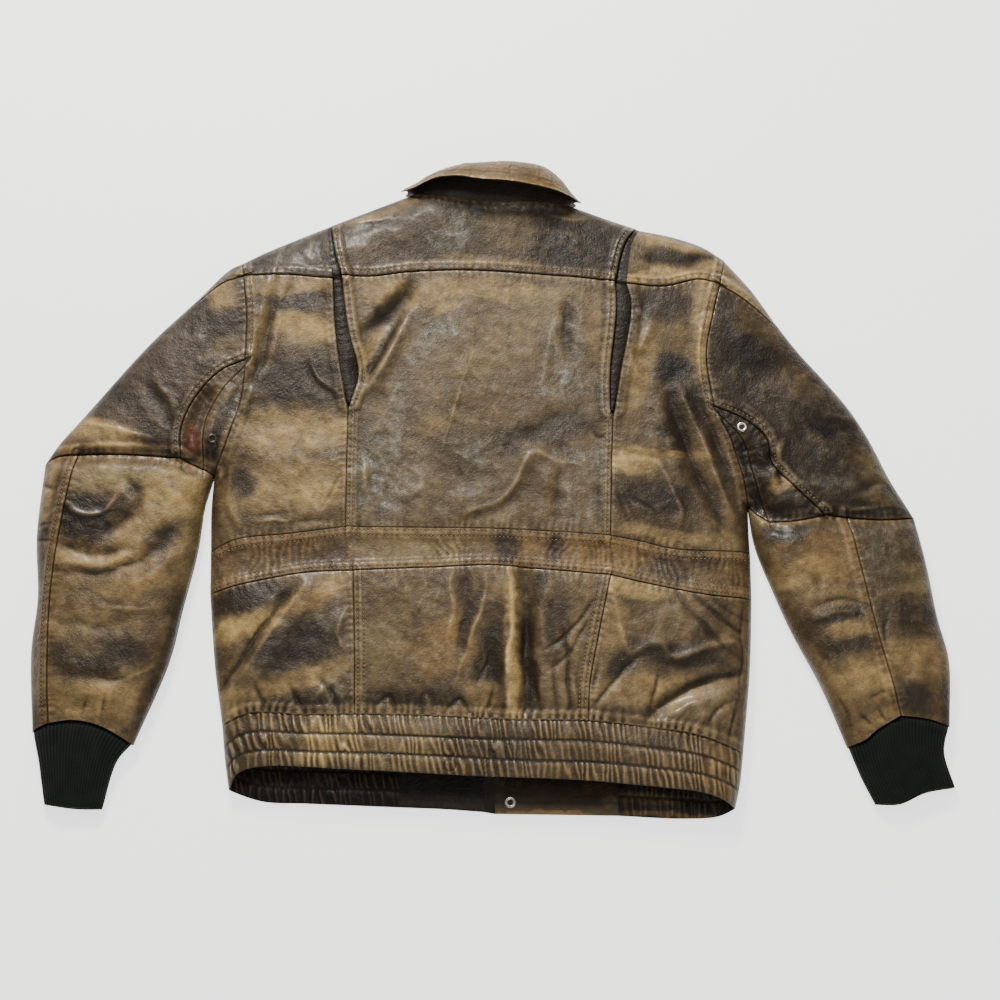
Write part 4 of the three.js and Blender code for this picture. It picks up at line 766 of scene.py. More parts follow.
    "gusset_lower_right": [(284, 36, 16, 26, 0, "near_black", 0.95), (292, -28, 12, 8, 0, "dark", 0.7)],
    "forearm_inner_left": [
        (-418, 10, 44, 15, 0, "wheat", 0.85), (-444, -36, 34, 27, -5, "dark", 0.95),
        (-444, -16, 30, 7, 5, "near_black", 0.35), (-396, -14, 9, 26, -30, "dark", 0.8),
        (-350, -4, 34, 28, 0, "gold", 0.75), (-386, -60, 24, 28, 0, "tan", 0.65),
        (-430, -82, 54, 9, -5, "tan", 0.75), (-362, -58, 12, 20, -40, "dark", 0.8),
        (-330, -70, 12, 44, 0, "wheat", 0.55), (-385, -110, 44, 14, 14, "tan", 0.6),
        (-456, -118, 28, 16, 0, "olive", 0.7), (-340, -142, 14, 20, 0, "dark", 0.7),
        (-428, -150, 52, 12, 0, "wheat", 0.4), (-424, -188, 60, 22, 0, "plum", 0.9),
        (-440, -180, 20, 10, 0, "wheat", 0.3), (-424, -238, 54, 19, 0, "tan", 0.8),
        (-394, -214, 32, 8, 18, "wheat", 0.5), (-374, -242, 9, 30, -30, "dark", 0.6),
        (-350, -190, 8, 40, -15, "dark", 0.5)],
    "forearm_outer_left": [
        (-492, 0, 12, 32, 0, "tan", 0.7), (-493, -48, 12, 8, 0, "dark", 0.8),
        (-491, -78, 7, 18, 0, "painted_sheen", 0.5), (-488, -200, 12, 30, 0, "olive", 0.5)],
    "forearm_inner_right": [
        (290, -26, 9, 16, 20, "wheat", 0.6), (326, -53, 30, 10, 0, "dark", 0.85),
        (370, -82, 30, 27, 0, "honey", 0.75), (350, -92, 20, 14, 0, "gold", 0.45),
        (320, -102, 22, 12, -20, "tan", 0.75), (362, -120, 30, 12, 0, "wheat", 0.4),
        (310, -72, 14, 12, 0, "olive", 0.5), (380, -142, 34, 8, 8, "plum", 0.9),
        (384, -160, 26, 8, 0, "tan", 0.6), (390, -180, 26, 11, 0, "plum", 0.85),
        (394, -216, 40, 22, 0, "tan", 0.85), (404, -214, 22, 10, 0, "gold", 0.55),
        (352, -170, 12, 40, 35, "dark", 0.6), (412, -258, 20, 7, 20, "gold", 0.5)],
    "forearm_outer_right": [
        (424, -70, 28, 30, 0, "painted_sheen", 0.3), (462, -100, 18, 16, 0, "wheat", 0.5),
        (456, -142, 38, 19, 0, "plum", 0.75), (462, -192, 38, 22, 0, "tan", 0.8),
        (462, -236, 28, 15, 0, "plum", 0.65), (476, -210, 10, 50, 0, "honey", 0.3)],
}
GROUNDS = {  # the brown that each piece starts from
    "back_yoke": (84, 70, 48), "yoke_side_left": (80, 67, 51), "yoke_side_right": (108, 91, 58),
    # The pleat inlays and the front hem band start near black: painted shade, deep in the pleats and under the lifted
    # back hem.
    "pleat_inlay": (50, 40, 26), "hem_band_front": (46, 36, 24), "hem_facing": (58, 53, 43),
    "hem_tab": (82, 66, 46), "collar_front": (90, 70, 46), "back_side": (102, 86, 60), "back_centre": (114, 99, 74),
    "waist_strip": (121, 100, 69), "lower_back": (114, 97, 69), "hem_band": (110, 93, 64),
    "sleeve_strip_left": (96, 81, 56), "sleeve_strip_right": (134, 112, 72),
    "sleeve_upper_left": (84, 69, 53), "sleeve_upper_right": (72, 60, 44),
    "gusset_left": (80, 69, 52), "gusset_upper_right": (66, 54, 42), "gusset_lower_right": (52, 42, 30),
    "forearm_inner": (114, 95, 64), "forearm_outer_left": (108, 88, 58), "forearm_outer_right": (98, 83, 60),
    # The stand's brown is much paler than its hide: painted light, against the shade that the leaf casts on it.
    "front": (84, 68, 46), "collar": (120, 97, 52), "stand": (168, 140, 122),
}
LINING = tone(46, 37, 28)


def ground(name):
    """A piece's starting tone: by its own name, or by the start of it."""
    fits = [key for key in GROUNDS if name.startswith(key)]
    return dyed(*GROUNDS[max(fits, key=len)]) if fits else dyed(84, 68, 46)


def painted(name, x, y):
    """The hide's colour and glossiness at plan points; some blots paint sheen, highlights and
    shade. A blot's weight is 1 inside an oval box (the 2.6 power norm of its turned coordinates)
    and fades over its rim."""
    colour = np.broadcast_to(ground(name), x.shape + (3,)).copy()
    wx = x + 6 * clouds(x, y, 34, 11) + 1.6 * noise(x, y, 5, 17)
    wy = y + 6 * clouds(x, y, 34, 12) + 1.6 * noise(x, y, 5, 18)
    fray = 0.15 * clouds(x * 0.45, y, 11, 25)
    gloss = 0.1 + 0.3 * clouds(x, y, 60, 21)
    for cx, cy, rx, ry, turn, kind, strength in BLOTS.get(name, []):
        a = np.radians(turn)
        u = ((wx - cx) * np.cos(a) + (wy - cy) * np.sin(a)) / rx
        v = ((wy - cy) * np.cos(a) - (wx - cx) * np.sin(a)) / ry
        r = (np.abs(u) ** 2.4 + np.abs(v) ** 2.4) ** (1 / 2.4) + fray
        weight = strength * (1 - ease(0.55, 1.4, r))
        # Sheen and highlight blots are painted light: they paint the lamp's sheen into the colour and also make the
        # hide glossier there.
        if kind in ("painted_sheen", "pale"):
            weight = weight * np.clip(0.75 + 0.9 * clouds(x, y, 9, 23), 0, 1.1)
            gloss += 0.9 * weight
        colour += weight[..., None] * (TONES[kind] - colour)
    cloud = 1 + 0.22 * clouds(x, y, 30, 41) + 0.16 * clouds(x, y, 8, 42)
    return colour * cloud[..., None], np.clip(gloss, 0, 1)


print(sum(map(len, BLOTS.values())), "blots on", len(BLOTS), "pieces")

# %% [markdown]
# ## The hide as a shader
# Under a lamp, leather is a rough brown with a waxy skin: a fine pebbled grain, hair-thin
# cracks and pale rubbed ridges. Shade in the dips, highlight along the collar lip and the gather
# crests, and glints on the glossy patches are painted into the colour too. The broad colours
# come from the points of the mesh, and the shader adds what is finer than the mesh. A small
# class lets its sums be written as sums.

# %% Shader helpers


class Wire:
    """A shader socket that can stand in a sum: each operator adds one Math node."""

    def __init__(self, finish, socket):
        self.finish, self.socket = finish, socket

    def _with(self, operation, *values):
        node = self.finish.node("ShaderNodeMath", {"operation": operation}, dict(enumerate(values)))
        return Wire(self.finish, node.outputs[0])

    def __add__(self, other):
        return self._with("ADD", self, other)

    def __sub__(self, other):
        return self._with("SUBTRACT", self, other)

    def __rsub__(self, other):
        return self._with("SUBTRACT", other, self)

    def __mul__(self, other):
        return self._with("MULTIPLY", self, other)

    def __pow__(self, other):
        return self._with("POWER", self, other)

    def size(self):
        """The value without its sign."""
        return self._with("ABSOLUTE", self)

    def held(self, low=0.0, high=1.0):
        """The value kept between two limits."""
        return self._with("MINIMUM", self._with("MAXIMUM", self, low), high)

    __radd__, __rmul__ = __add__, __mul__


class Finish:
    """A material under construction."""

    def __init__(self, name):
        self.material = bpy.data.materials.new(name)
        self.material.use_nodes = True
        self.tree = self.material.node_tree
        self.tree.nodes.clear()
        self.place = self.node("ShaderNodeTexCoord").outputs["Object"]

    def node(self, kind, settings=None, sockets=None):
        """A node of that type, its settings made first, then its sockets' values or links."""
        made = self.tree.nodes.new(kind)
        for key, value in (settings or {}).items():
            if key == "stops":
                for stop, (position, colour) in zip(made.color_ramp.elements, value):
                    stop.position, stop.color = position, colour
            else:
                setattr(made, key, value)
        for key, value in (sockets or {}).items():
            if isinstance(value, Wire):
                value = value.socket
            if isinstance(value, bpy.types.NodeSocket):
                self.tree.links.new(value, made.inputs[key])
            else:
                made.inputs[key].default_value = value
        return made

    def spots(self, size, detail=3.0, rough=0.55, place=None):
        """Noise from 0 to 1 whose marks are about size millimetres wide."""
        made = self.node("ShaderNodeTexNoise", {"noise_dimensions": "3D"}, {
            "Vector": place or self.place, "Scale": 1000 / size, "Detail": detail, "Roughness": rough})
        return Wire(self, made.outputs["Fac"])

    def cells(self, size, feature="DISTANCE_TO_EDGE", place=None):
        """Voronoi cells about size millimetres wide: distance to their edges, or their middles."""
        made = self.node("ShaderNodeTexVoronoi", {"feature": feature}, {
            "Vector": place or self.place, "Scale": 1000 / size})
        return Wire(self, made.outputs["Distance"])

    def stretched(self, along_x, along_y, turn=0.0):
        """Coordinates stretched so that a pattern runs long and thin."""
        made = self.node("ShaderNodeMapping", {}, {
            "Vector": self.place, "Scale": (along_x, along_y, 1.0), "Rotation": (0.0, 0.0, turn)})
        return made.outputs["Vector"]

    def kept(self, name, output="Fac"):
        """What the points of the mesh keep under that name."""
        return self.node("ShaderNodeAttribute", {"attribute_name": name}).outputs[output]

    def mixed(self, share, first, second):
        """A colour between two, by share."""
        made = self.node("ShaderNodeMix", {"data_type": "RGBA"}, {0: share, 6: first, 7: second})
        return made.outputs[2]

    def scaled(self, colour, amount):
        """A colour made lighter or darker by a number."""
        made = self.node("ShaderNodeVectorMath", {"operation": "SCALE"}, {0: colour, "Scale": amount})
        return made.outputs[0]

    def skin(self, bumps, bump_mm=0.4, **surface):
        """The surface itself: a Principled shader over a chain of one bump."""
        if bumps is not None:
            bump = self.node("ShaderNodeBump", {}, {"Height": bumps, "Strength": 1.0, "Distance": bump_mm / 1000})
            surface["Normal"] = bump.outputs[0]
        shader = self.node("ShaderNodeBsdfPrincipled", {}, surface)
        self.node("ShaderNodeOutputMaterial", {}, {"Surface": shader.outputs[0]})
        return self.material


def rgba(colour):
    return (*map(float, colour), 1.0)


# %% [markdown]
# ## Leather, knit, tape, thread and nickel
# All hide shares one recipe and takes its tone from the mesh: mottling of two sizes, dark seam
# grooves and painted shade in the dips, pale rubbed ridges, scuffs stretched along the grain,
# painted glints on the glossy patches, a pebble of cells for the grain and thin cracks over it.
# The pebbled facing is the same with coarser, darker cells.

# %% Materials


def leather(name, grain_mm=1.5, grain=0.45, scuffed=1.0):
    """Worn waxed hide, its broad tones read from the mesh."""
    hide = Finish(name)
    wear = Wire(hide, hide.kept("wear"))
    gloss = Wire(hide, hide.kept("gloss"))
    mottle = hide.spots(17, 4, 0.58)
    speck = hide.spots(2.4, 3, 0.75)
    colour = hide.scaled(hide.kept("hide", "Color"), (1.3 * mottle + 0.55 * speck + 0.02).held(0.25, 2.2))
    wear = wear * (0.35 + 1.3 * hide.spots(4, 3, 0.7))
    # Negative values darken: seam grooves and stitch rows, and painted shade in the dips of creases, pleats and
    # gathers.
    dirt_and_shade = ((0 - wear) * 1.3).held()
    # Positive values lighten: worn seams and ridges, and painted highlight along the collar lip and the gather crests.
    rubbed = (wear * 1.1 * (0.35 + speck * 1.2)).held()
    colour = hide.mixed(dirt_and_shade * 0.78, colour, rgba(tone(30, 22, 13)))
    colour = hide.scaled(colour, 1 + 0.9 * rubbed)
    colour = hide.mixed(rubbed * 0.16, colour, rgba(tone(170, 143, 98)))
    drag = hide.spots(16, 4, 0.7, hide.stretched(1.0, 0.22, 0.5))
    scuff = (((drag - 0.6) * 7).held() * (speck * 1.4).held()) * (0.16 * scuffed)
    colour = hide.scaled(colour, 1 + 2.2 * scuff)
    colour = hide.mixed(scuff * 0.25, colour, rgba(tone(170, 160, 136)))
    streak = hide.spots(7, 6, 0.72, hide.stretched(1.0, 0.6, 0.9))
    # Painted glints: pale grey streaks laid over the glossy patches, where the lamp would glint.
    painted_glint = (((streak - 0.5) * 6).held()) * (((gloss - 0.12) * 1.2).held() * 0.42)
    colour = hide.mixed(painted_glint, colour, rgba(tone(172, 168, 154)))
    crack = hide.cells(grain_mm * 3.2, place=None)
    pebble = hide.cells(grain_mm, "F1")
    rough = (0.46 - 0.14 * gloss + 0.24 * (speck - 0.5) + 0.2 * (mottle - 0.5) + 0.12 * dirt_and_shade).held(0.2, 0.9)
    wax = (gloss * (0.2 + 1.8 * (streak - 0.4).held()) + (wear * 0.4).held()).held(0.02, 1.0)
    crinkle = ((hide.spots(11, 4, 0.6) - 0.5).size() * 5).held() + 0.6 * ((hide.spots(5, 3, 0.6) - 0.5).size() * 5).held()
    height = grain * (0.5 - pebble) + 0.2 * (crack * 6).held() + 0.7 * crinkle + 0.4 * speck + 1.8 * mottle
    return hide.skin(height, 0.42, **{"Base Color": colour, "Roughness": rough, "Coat Weight": wax,
                                     "Coat Roughness": 0.22, "Specular IOR Level": 0.26})


def knit(name):
    """Dense rib knit: black wool with a green cast, its loops a fine grain on the ribs."""
    wool = Finish(name)
    fuzz = wool.spots(0.9, 2, 0.6)
    colour = wool.scaled(wool.kept("hide", "Color"), 0.7 + 0.6 * fuzz)
    return wool.skin(fuzz + wool.spots(3, 2), 0.35, **{
        "Base Color": colour, "Roughness": 0.93, "Specular IOR Level": 0.18, "Sheen Weight": 0.08})


def plain(name, colour, rough, metallic=0.0, fine=1.2, depth=0.08):
    """A small part's finish: one colour that dulls and brightens in small marks."""
    small = Finish(name)
    marks = small.spots(fine, 3, 0.6)
    tint = small.scaled(small.mixed(marks, rgba(colour * 0.75), rgba(colour * 1.2)), 1.0)
    return small.skin(marks, depth, **{
        "Base Color": tint, "Roughness": (rough + 0.3 * (marks - 0.5)).held(0.08, 1.0), "Metallic": metallic})


HIDE = leather("worn_hide")
PEBBLED = leather("pebbled_facing", grain_mm=1.9, grain=1.6, scuffed=0.3)
KNIT = knit("rib_wool")
TAPE = plain("zip_tape_weave", tone(46, 40, 32), 0.85, fine=0.8, depth=0.2)
THREAD = plain("waxed_thread", tone(150, 126, 84), 0.6, fine=0.5)
DARK_THREAD = plain("dark_thread", tone(62, 48, 32), 0.6, fine=0.5)
NICKEL = plain("dull_nickel", tone(214, 206, 196), 0.3, metallic=1.0)
TARNISH = plain("tarnished_metal", tone(90, 84, 74), 0.42, metallic=1.0)
print("materials:", len(bpy.data.materials))

# %% [markdown]
# ## From a cut piece to a thin shell
# Each panel is a grid: its plan is a Coons patch, which blends four edge curves into a net, and
# its height is the rolled shell plus the creases. The worn side is fine and the hidden side has
# one cell for sixteen of these, because nothing shows there. A rim of seven-sided faces joins
# the two, so each panel is closed and has the thickness of hide.

# %% Nets, shells and their measure
ROLLED, SEWN = (0.88, 5.0), (0.6, 2.5)  # how strongly a net's steps shrink towards such an edge


def spread(count, start, end):
    """Shares from 0 to 1. A step's weight is 1 less an exponential of its distance in steps
    from either end, and the weights are added up and scaled."""
    i = np.arange(count) + 0.5
    weight = (1 - start[0] * np.exp(-i / start[1])) * (1 - end[0] * np.exp((i - count) / end[1]))
    run = np.r_[0, np.cumsum(weight)]
    return run / run[-1]


def rolled(line):
    """Whether a side of a panel runs along the garment's rolled edge."""
    x, y = along(line, np.linspace(0.1, 0.9, 9))[:, :2].T
    return bool((from_edge(x, y, 2.0) < 0.6).mean() > 0.6)


def net(foot, head, left, right, spacing, inset=0.05):
    """Plan points, and their shares across and up. The Coons patch adds the blend of foot and
    head to the blend of left and right and takes away the blend of the four corners."""
    foot, head, left, right = (side[:, :2] for side in (foot, head, left, right))
    kinds = [ROLLED if rolled(side) else SEWN for side in (foot, head, left, right)]
    counts = [int(np.ceil(max(length(a), length(b)) / spacing[k] * 1.06 / STEP)) * STEP
              for k, (a, b) in enumerate(((foot, head), (left, right)))]
    u, v = spread(max(counts[0], STEP), kinds[2], kinds[3]), spread(max(counts[1], STEP), kinds[0], kinds[1])
    f, h, near, far = along(foot, u), along(head, u), along(left, v)[:, None], along(right, v)[:, None]
    a, b = u[None, :, None], v[:, None, None]
    plan = ((1 - b) * f + b * h + (1 - a) * near + a * far - (1 - a) * (1 - b) * f[0]
            - a * (1 - b) * f[-1] - (1 - a) * b * h[0] - a * b * h[-1])
    for rim, within, kind in ((plan[0], plan[1], kinds[0]), (plan[-1], plan[-2], kinds[1]),
                              (plan[:, 0], plan[:, 1], kinds[2]), (plan[:, -1], plan[:, -2], kinds[3])):
        if kind is SEWN:
            step = within - rim
            rim += inset * step / (np.linalg.norm(step, axis=-1, keepdims=True) + 1e-9)
    return plan, *np.meshgrid(u, v)


def facing(grid):
    """Unit normals of a grid of points, upwards: the cross product of its steps across and up."""
    n = np.cross(np.gradient(grid, axis=1), np.gradient(grid, axis=0))
    n *= np.sign(n[..., 2].mean()) or 1.0
    return n / (np.linalg.norm(n, axis=-1, keepdims=True) + 1e-12)


def softened(values, cells):
    """A grid blurred by running means of that many cells, first down and then across."""
    for axis in (0, 1):
        pad = [(cells, cells) if k == axis else (0, 0) for k in (0, 1)]
        total = np.cumsum(np.pad(values, pad, "edge"), axis=axis)
        take = lambda a, b: np.take(total, range(a, b), axis)
        size = values.shape[axis]
        values = (take(2 * cells, 2 * cells + size) - take(0, size)) / (2 * cells)
    return values


def lowest(values, cells):
    """A grid's least value within that many cells, down and then across."""
    for axis in (0, 1):
        values = np.minimum.reduce([np.roll(values, k, axis) for k in range(-cells, cells + 1)])
    return values


def solid(name, points, faces, material, hide=None, wear=None, gloss=None, sharp=1.0):
    """A Blender object from points in garment millimetres and arrays of faces."""
    mesh = bpy.data.meshes.new(name)
    place = (points - np.r_[CENTRE, 0.0]) / 1000
    corners = np.concatenate([f.ravel() for f in faces]).astype(np.int32)
    sizes = np.concatenate([np.full(len(f), f.shape[1]) for f in faces])
    mesh.vertices.add(len(place))
    mesh.vertices.foreach_set("co", place.astype(np.float32).ravel())
    mesh.loops.add(len(corners))
    mesh.loops.foreach_set("vertex_index", corners)
    mesh.polygons.add(len(sizes))
    mesh.polygons.foreach_set("loop_start", np.r_[0, np.cumsum(sizes)[:-1]].astype(np.int32))
    mesh.polygons.foreach_set("use_smooth", np.ones(len(sizes), bool))
    mesh.update(calc_edges=True)
    mesh.validate()
    mesh.set_sharp_from_angle(angle=sharp)
    if hide is not None:
        colour = np.column_stack([np.clip(hide, 0, 1), np.ones(len(hide))])
        mesh.attributes.new("hide", "FLOAT_COLOR", "POINT").data.foreach_set("color", colour.astype(np.float32).ravel())
        for key, values in (("wear", wear), ("gloss", gloss)):
            mesh.attributes.new(key, "FLOAT", "POINT").data.foreach_set("value", values.astype(np.float32))
    mesh.materials.append(material)
    piece = bpy.data.objects.new(name, mesh)
    bpy.context.scene.collection.objects.link(piece)
    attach(piece, "root")
    return piece


def quads(index):
    return np.stack([index[:-1, :-1], index[:-1, 1:], index[1:, 1:], index[1:, :-1]], -1).reshape(-1, 4)


def shell(name, outer, inner, hide, wear, gloss, material, ring=False):
    """A closed wall between a fine outer grid and every fourth point of an inner grid."""
    rows, cols = outer.shape[:2]
    inner = inner[::STEP, ::STEP]
    wrap = (lambda i: np.hstack([i, i[:, :1]])) if ring else (lambda i: i)
    fine = wrap(np.arange(rows * cols).reshape(rows, cols))
    rough = wrap(rows * cols + np.arange(inner.shape[0] * inner.shape[1]).reshape(inner.shape[:2]))
    if ring:
        loops = [(fine[0], rough[0]), (fine[-1, ::-1], rough[-1, ::-1])]
    else:
        around = lambda i: np.r_[i[0, :-1], i[:-1, -1], i[-1, :0:-1], i[:0:-1, 0], i[0, 0]]
        loops = [(around(fine), around(rough))]
    faces = [quads(fine), quads(rough)[:, ::-1]]
    for o, i in loops:
        k = np.arange(len(i) - 1)
        faces.append(np.column_stack([o[k * STEP + j] for j in range(STEP, -1, -1)] + [i[:-1], i[1:]]))
    out = np.cross(np.gradient(outer, axis=1), np.gradient(outer, axis=0))[::STEP, ::STEP]
    if (out * (outer[::STEP, ::STEP] - inner)).sum() < 0:
        faces = [f[:, ::-1] for f in faces]
    n = inner.shape[0] * inner.shape[1]
    return solid(name, np.vstack([outer.reshape(-1, 3), inner.reshape(-1, 3)]), faces, material,
                 np.vstack([hide.reshape(-1, 3), np.tile(LINING, (n, 1))]),
                 np.r_[wear.ravel(), np.zeros(n)], np.r_[gloss.ravel(), np.zeros(n)])


def measured(grid, gather=1.0):
    """Flat width, length and area in metres of a grid in millimetres: its longest row, its
    longest column and the sum of its cells, with the fullness that gathering takes up."""
    across_, up = (np.linalg.norm(np.diff(grid, axis=k), axis=-1).sum(k).max() / 1000 for k in (1, 0))
    cell = np.cross(np.diff(grid, axis=1)[:-1], np.diff(grid, axis=0)[:, :-1])
    area = np.linalg.norm(cell, axis=-1).sum() / 1e6 * gather
    return (across_ * gather, up), min(area, across_ * gather * up * 0.999)


CUT = {}  # piece: flat width, flat length, area, and how it is held


def cloth(grid, node, held="laid", gather=1.0):
    """Note in CUT the flat size that a piece was cut to, its area and how it is held, and hide the CAD node that it
    stands for.
    """
    flat, area = measured(grid, gather)
    CUT[node] = (*flat, area, held)
    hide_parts(node)


def wear_and_shading_from_shape(height, extra, fine=3, broad=10):
    """From shape, judged against a blurred copy: ridges are rubbed pale, and dips are darkened as painted shade."""
    worn_and_shaded = 0.5 * (height - softened(height, fine)) / 0.3 + 0.16 * (height - softened(height, broad)) / 0.9
    return np.clip(0.75 * worn_and_shaded + extra, -1.3, 1.3)


# %% [markdown]
# ## Sewing lines as names
# A panel's four sides are runs of the seam lines. Writing them as short text, with a minus
# where a line is followed backwards, keeps each panel readable as a cutter's list.

# %% The cutting list


def run(side, text):
    """The named curves of one half laid end to end; a minus turns a curve round."""
    lines = []
    for name in text.split():
        curve = smooth(HALVES[side][name.lstrip("-")])[:, :2]
        lines.append(curve[::-1] if name[0] == "-" else curve)
    return joined(*lines)


def pleat_end(side, corner):
    """From where the centre back meets the side panel up to a corner of the inlay."""
    half = HALVES[side]
    return smooth([half["back_low"][0][:2], half["pleat_foot"][corner][:2]])


def back_panels():
    """Every panel of the back shell: name, the four sides, and its drop below the rest."""
    listed = []
    for s in HALVES:
        arm = "-side_high -armhole_low -gusset_head_lower -gusset_head_upper -armhole_mid"
        listed += [
            (f"yoke_side_{s}", run(s, "yoke_side"), run(s, "-shoulder_out"), run(s, "-armhole_top"),
             run(s, "-pleat_side_high"), 0),
            (f"pleat_inlay_{s}", run(s, "pleat_foot"), run(s, "-pleat_top"),
             run(s, "-pleat_side_low -pleat_side_high"), run(s, "-pleat_back_low -pleat_back_high"), 2),
            (f"back_side_{s}", run(s, "strip_top"), run(s, "yoke_side"), run(s, arm),
             joined(run(s, "-back_low"), pleat_end(s, 0), run(s, "-pleat_side_low")), 0),
            (f"lower_back_{s}", run(s, "hem_top"), run(s, "strip_low"), run(s, "-side_low"),
             run(s, "-lower_seam"), 0),
            (f"sleeve_strip_{s}", run(s, "-strip_seam"), run(s, "-sleeve_top"), run(s, "strip_end"),
             run(s, "-armhole_top"), 0),
            (f"sleeve_upper_{s}", run(s, "elbow_out elbow_mid"), run(s, "-strip_end -strip_seam"),
             run(s, "-upper_out"), run(s, "-gusset_arc -armhole_mid"), 0),
            (f"gusset_upper_{s}", run(s, "elbow_gusset"), run(s, "gusset_head_upper"), run(s, "-gusset_arc"),
             run(s, "-gusset_ridge"), 0),
            (f"gusset_lower_{s}", run(s, "elbow_pit"), run(s, "gusset_head_lower"), run(s, "-gusset_ridge"),
             run(s, "-armhole_low"), 0),
            (f"forearm_outer_{s}", run(s, "cuff_line_out"), run(s, "elbow_out"), run(s, "-fore_out"),
             run(s, "-fore_seam"), 0),
            (f"forearm_inner_{s}", run(s, "cuff_line_in"), run(s, "elbow_mid elbow_gusset elbow_pit"),
             run(s, "-fore_seam"), run(s, "-fore_in"), 0),
        ]
    sides = lambda text: (run("left", text), run("right", text))
    up = [joined(run(s, "-back_low"), pleat_end(s, 1), run(s, "-pleat_back_low")) for s in HALVES]
    listed += [
        ("back_yoke", smooth(YOKE_SEAM)[:, :2], joined(run("left", "-shoulder_in"), smooth(NECK)[:, :2],
         run("right", "shoulder_in")), *sides("-pleat_back_high"), 0),
        ("back_centre", smooth(STRIP_TOP)[:, :2], smooth(YOKE_SEAM)[:, :2], *up, 0),
        ("waist_strip", across("strip_low", STRIP_LOW)[:, :2], across("strip_top", STRIP_TOP)[:, :2],
         *sides("-side_strip"), 0),
        ("lower_back_centre", smooth(HEM_TOP)[:, :2], smooth(STRIP_LOW)[:, :2], *sides("-lower_seam"), 0),
        ("hem_band_back", smooth(HEM_LOW)[:, :2], across("hem_top", HEM_TOP)[:, :2], *sides("-side_hem"), 0),
    ]
    return listed


# %% [markdown]
# ## Gathered hem and crinkled waist strip
# The hem band is hide sewn over wide elastic in three channels. When the elastic pulls back,
# the hide stands up in close upright gathers that die out at each channel's stitching. The
# waist strip only crinkles. Both are waves across the band, bent and uneven by noise.

# %% Gathers


def gathers(x, y, v):
    """Narrow upright ridges: a sharpened cosine of a phase whose wavelength shrinks along the
    band, leaning a little, set apart by noise that changes slowly down the band. They stand
    highest in the middle of each of three channels, and a stitched line dips between."""
    lines = [0.31 + 0.02 * noise(x, 0 * x, 120, 51), 0.65 + 0.02 * noise(x, 0 * x, 120, 52)]
    channel = np.where(v < lines[0], 0, np.where(v < lines[1], 1, 2))
    low = np.choose(channel, [np.zeros_like(v), lines[0], lines[1]])
    high = np.choose(channel, [lines[0], lines[1], np.ones_like(v)])
    within = np.clip((v - low) / (high - low), 0, 1)
    wave = 7.4 - 0.0045 * x
    lean = np.array([0.018, 0.034, 0.026])[channel]
    phase = -np.log(wave) / 0.0045 + lean * (y + 290) * (1 - 0.002 * (x + 100))
    phase = phase + 0.75 * noise(x, y * 0.16 + 31 * channel, 15, 53) + 0.3 * noise(x, y * 0.3 + 17 * channel, 6, 54)
    ridge = (0.5 + 0.5 * np.cos(2 * np.pi * phase)) ** 1.6
    stand = (1.9 - 0.0012 * (x + 250)) * np.clip(0.7 + 0.7 * noise(x, y * 0.4 + 50 * channel, 17, 56), 0.15, 1.5)
    swell = np.sin(np.pi * within) ** 0.5
    swell = np.where(channel == 2, np.maximum(swell, 0.9 * (within > 0.5)), swell)
    gap = np.minimum(np.abs(v - lines[0]), np.abs(v - lines[1])) * 62
    height = stand * (ridge - 0.35) * (0.35 + 0.65 * swell) + 1.0 * swell - 0.9 * np.exp(-(gap / 1.2) ** 2)
    # The second value lightens the gather crests and darkens their valleys, as painted light and shade, and darkens the
    # stitched lines.
    return height, 0.25 * (ridge - 0.5) - 0.35 * np.exp(-(gap / 1.0) ** 2)


def crinkles(x, y, v):
    """Low waves across the strip, 8 mm apart, that bend and come and go."""
    phase = x / 8.0 + 1.1 * noise(x, y, 24, 61) + 0.3 * noise(x, y, 9, 62)
    come = np.clip(0.4 + 0.9 * noise(x, y, 40, 63), 0, 1) * np.sin(np.pi * np.clip(v, 0, 1)) ** 0.5
    return 0.34 * np.sin(2 * np.pi * phase) * come


def ringed(x, y):
    """Two oval marks pressed into the hem by things that lay on it."""
    height = np.zeros(x.shape)
    for cx, cy, rx, ry in ((-46, -288, 7, 10), (-45, -307, 6, 6)):
        r = np.hypot((x - cx) / rx, (y - cy) / ry)
        height -= 0.9 * np.exp(-((r - 1) * min(rx, ry) / 1.1) ** 2)
    return height


# %% [markdown]
# ## The back and the sleeves
# Every panel of the upper side is made the same way. Its relief dies away towards the rolled
# edge, where the hide is drawn tight, and its wear and painted shade are judged from its own
# shape. Its colour is also darkened towards that edge, as painted shade.

# %% Panels of the upper side
SPACING = {"hem_band_back": (1.15, 1.9), "waist_strip": (1.5, 1.5)}


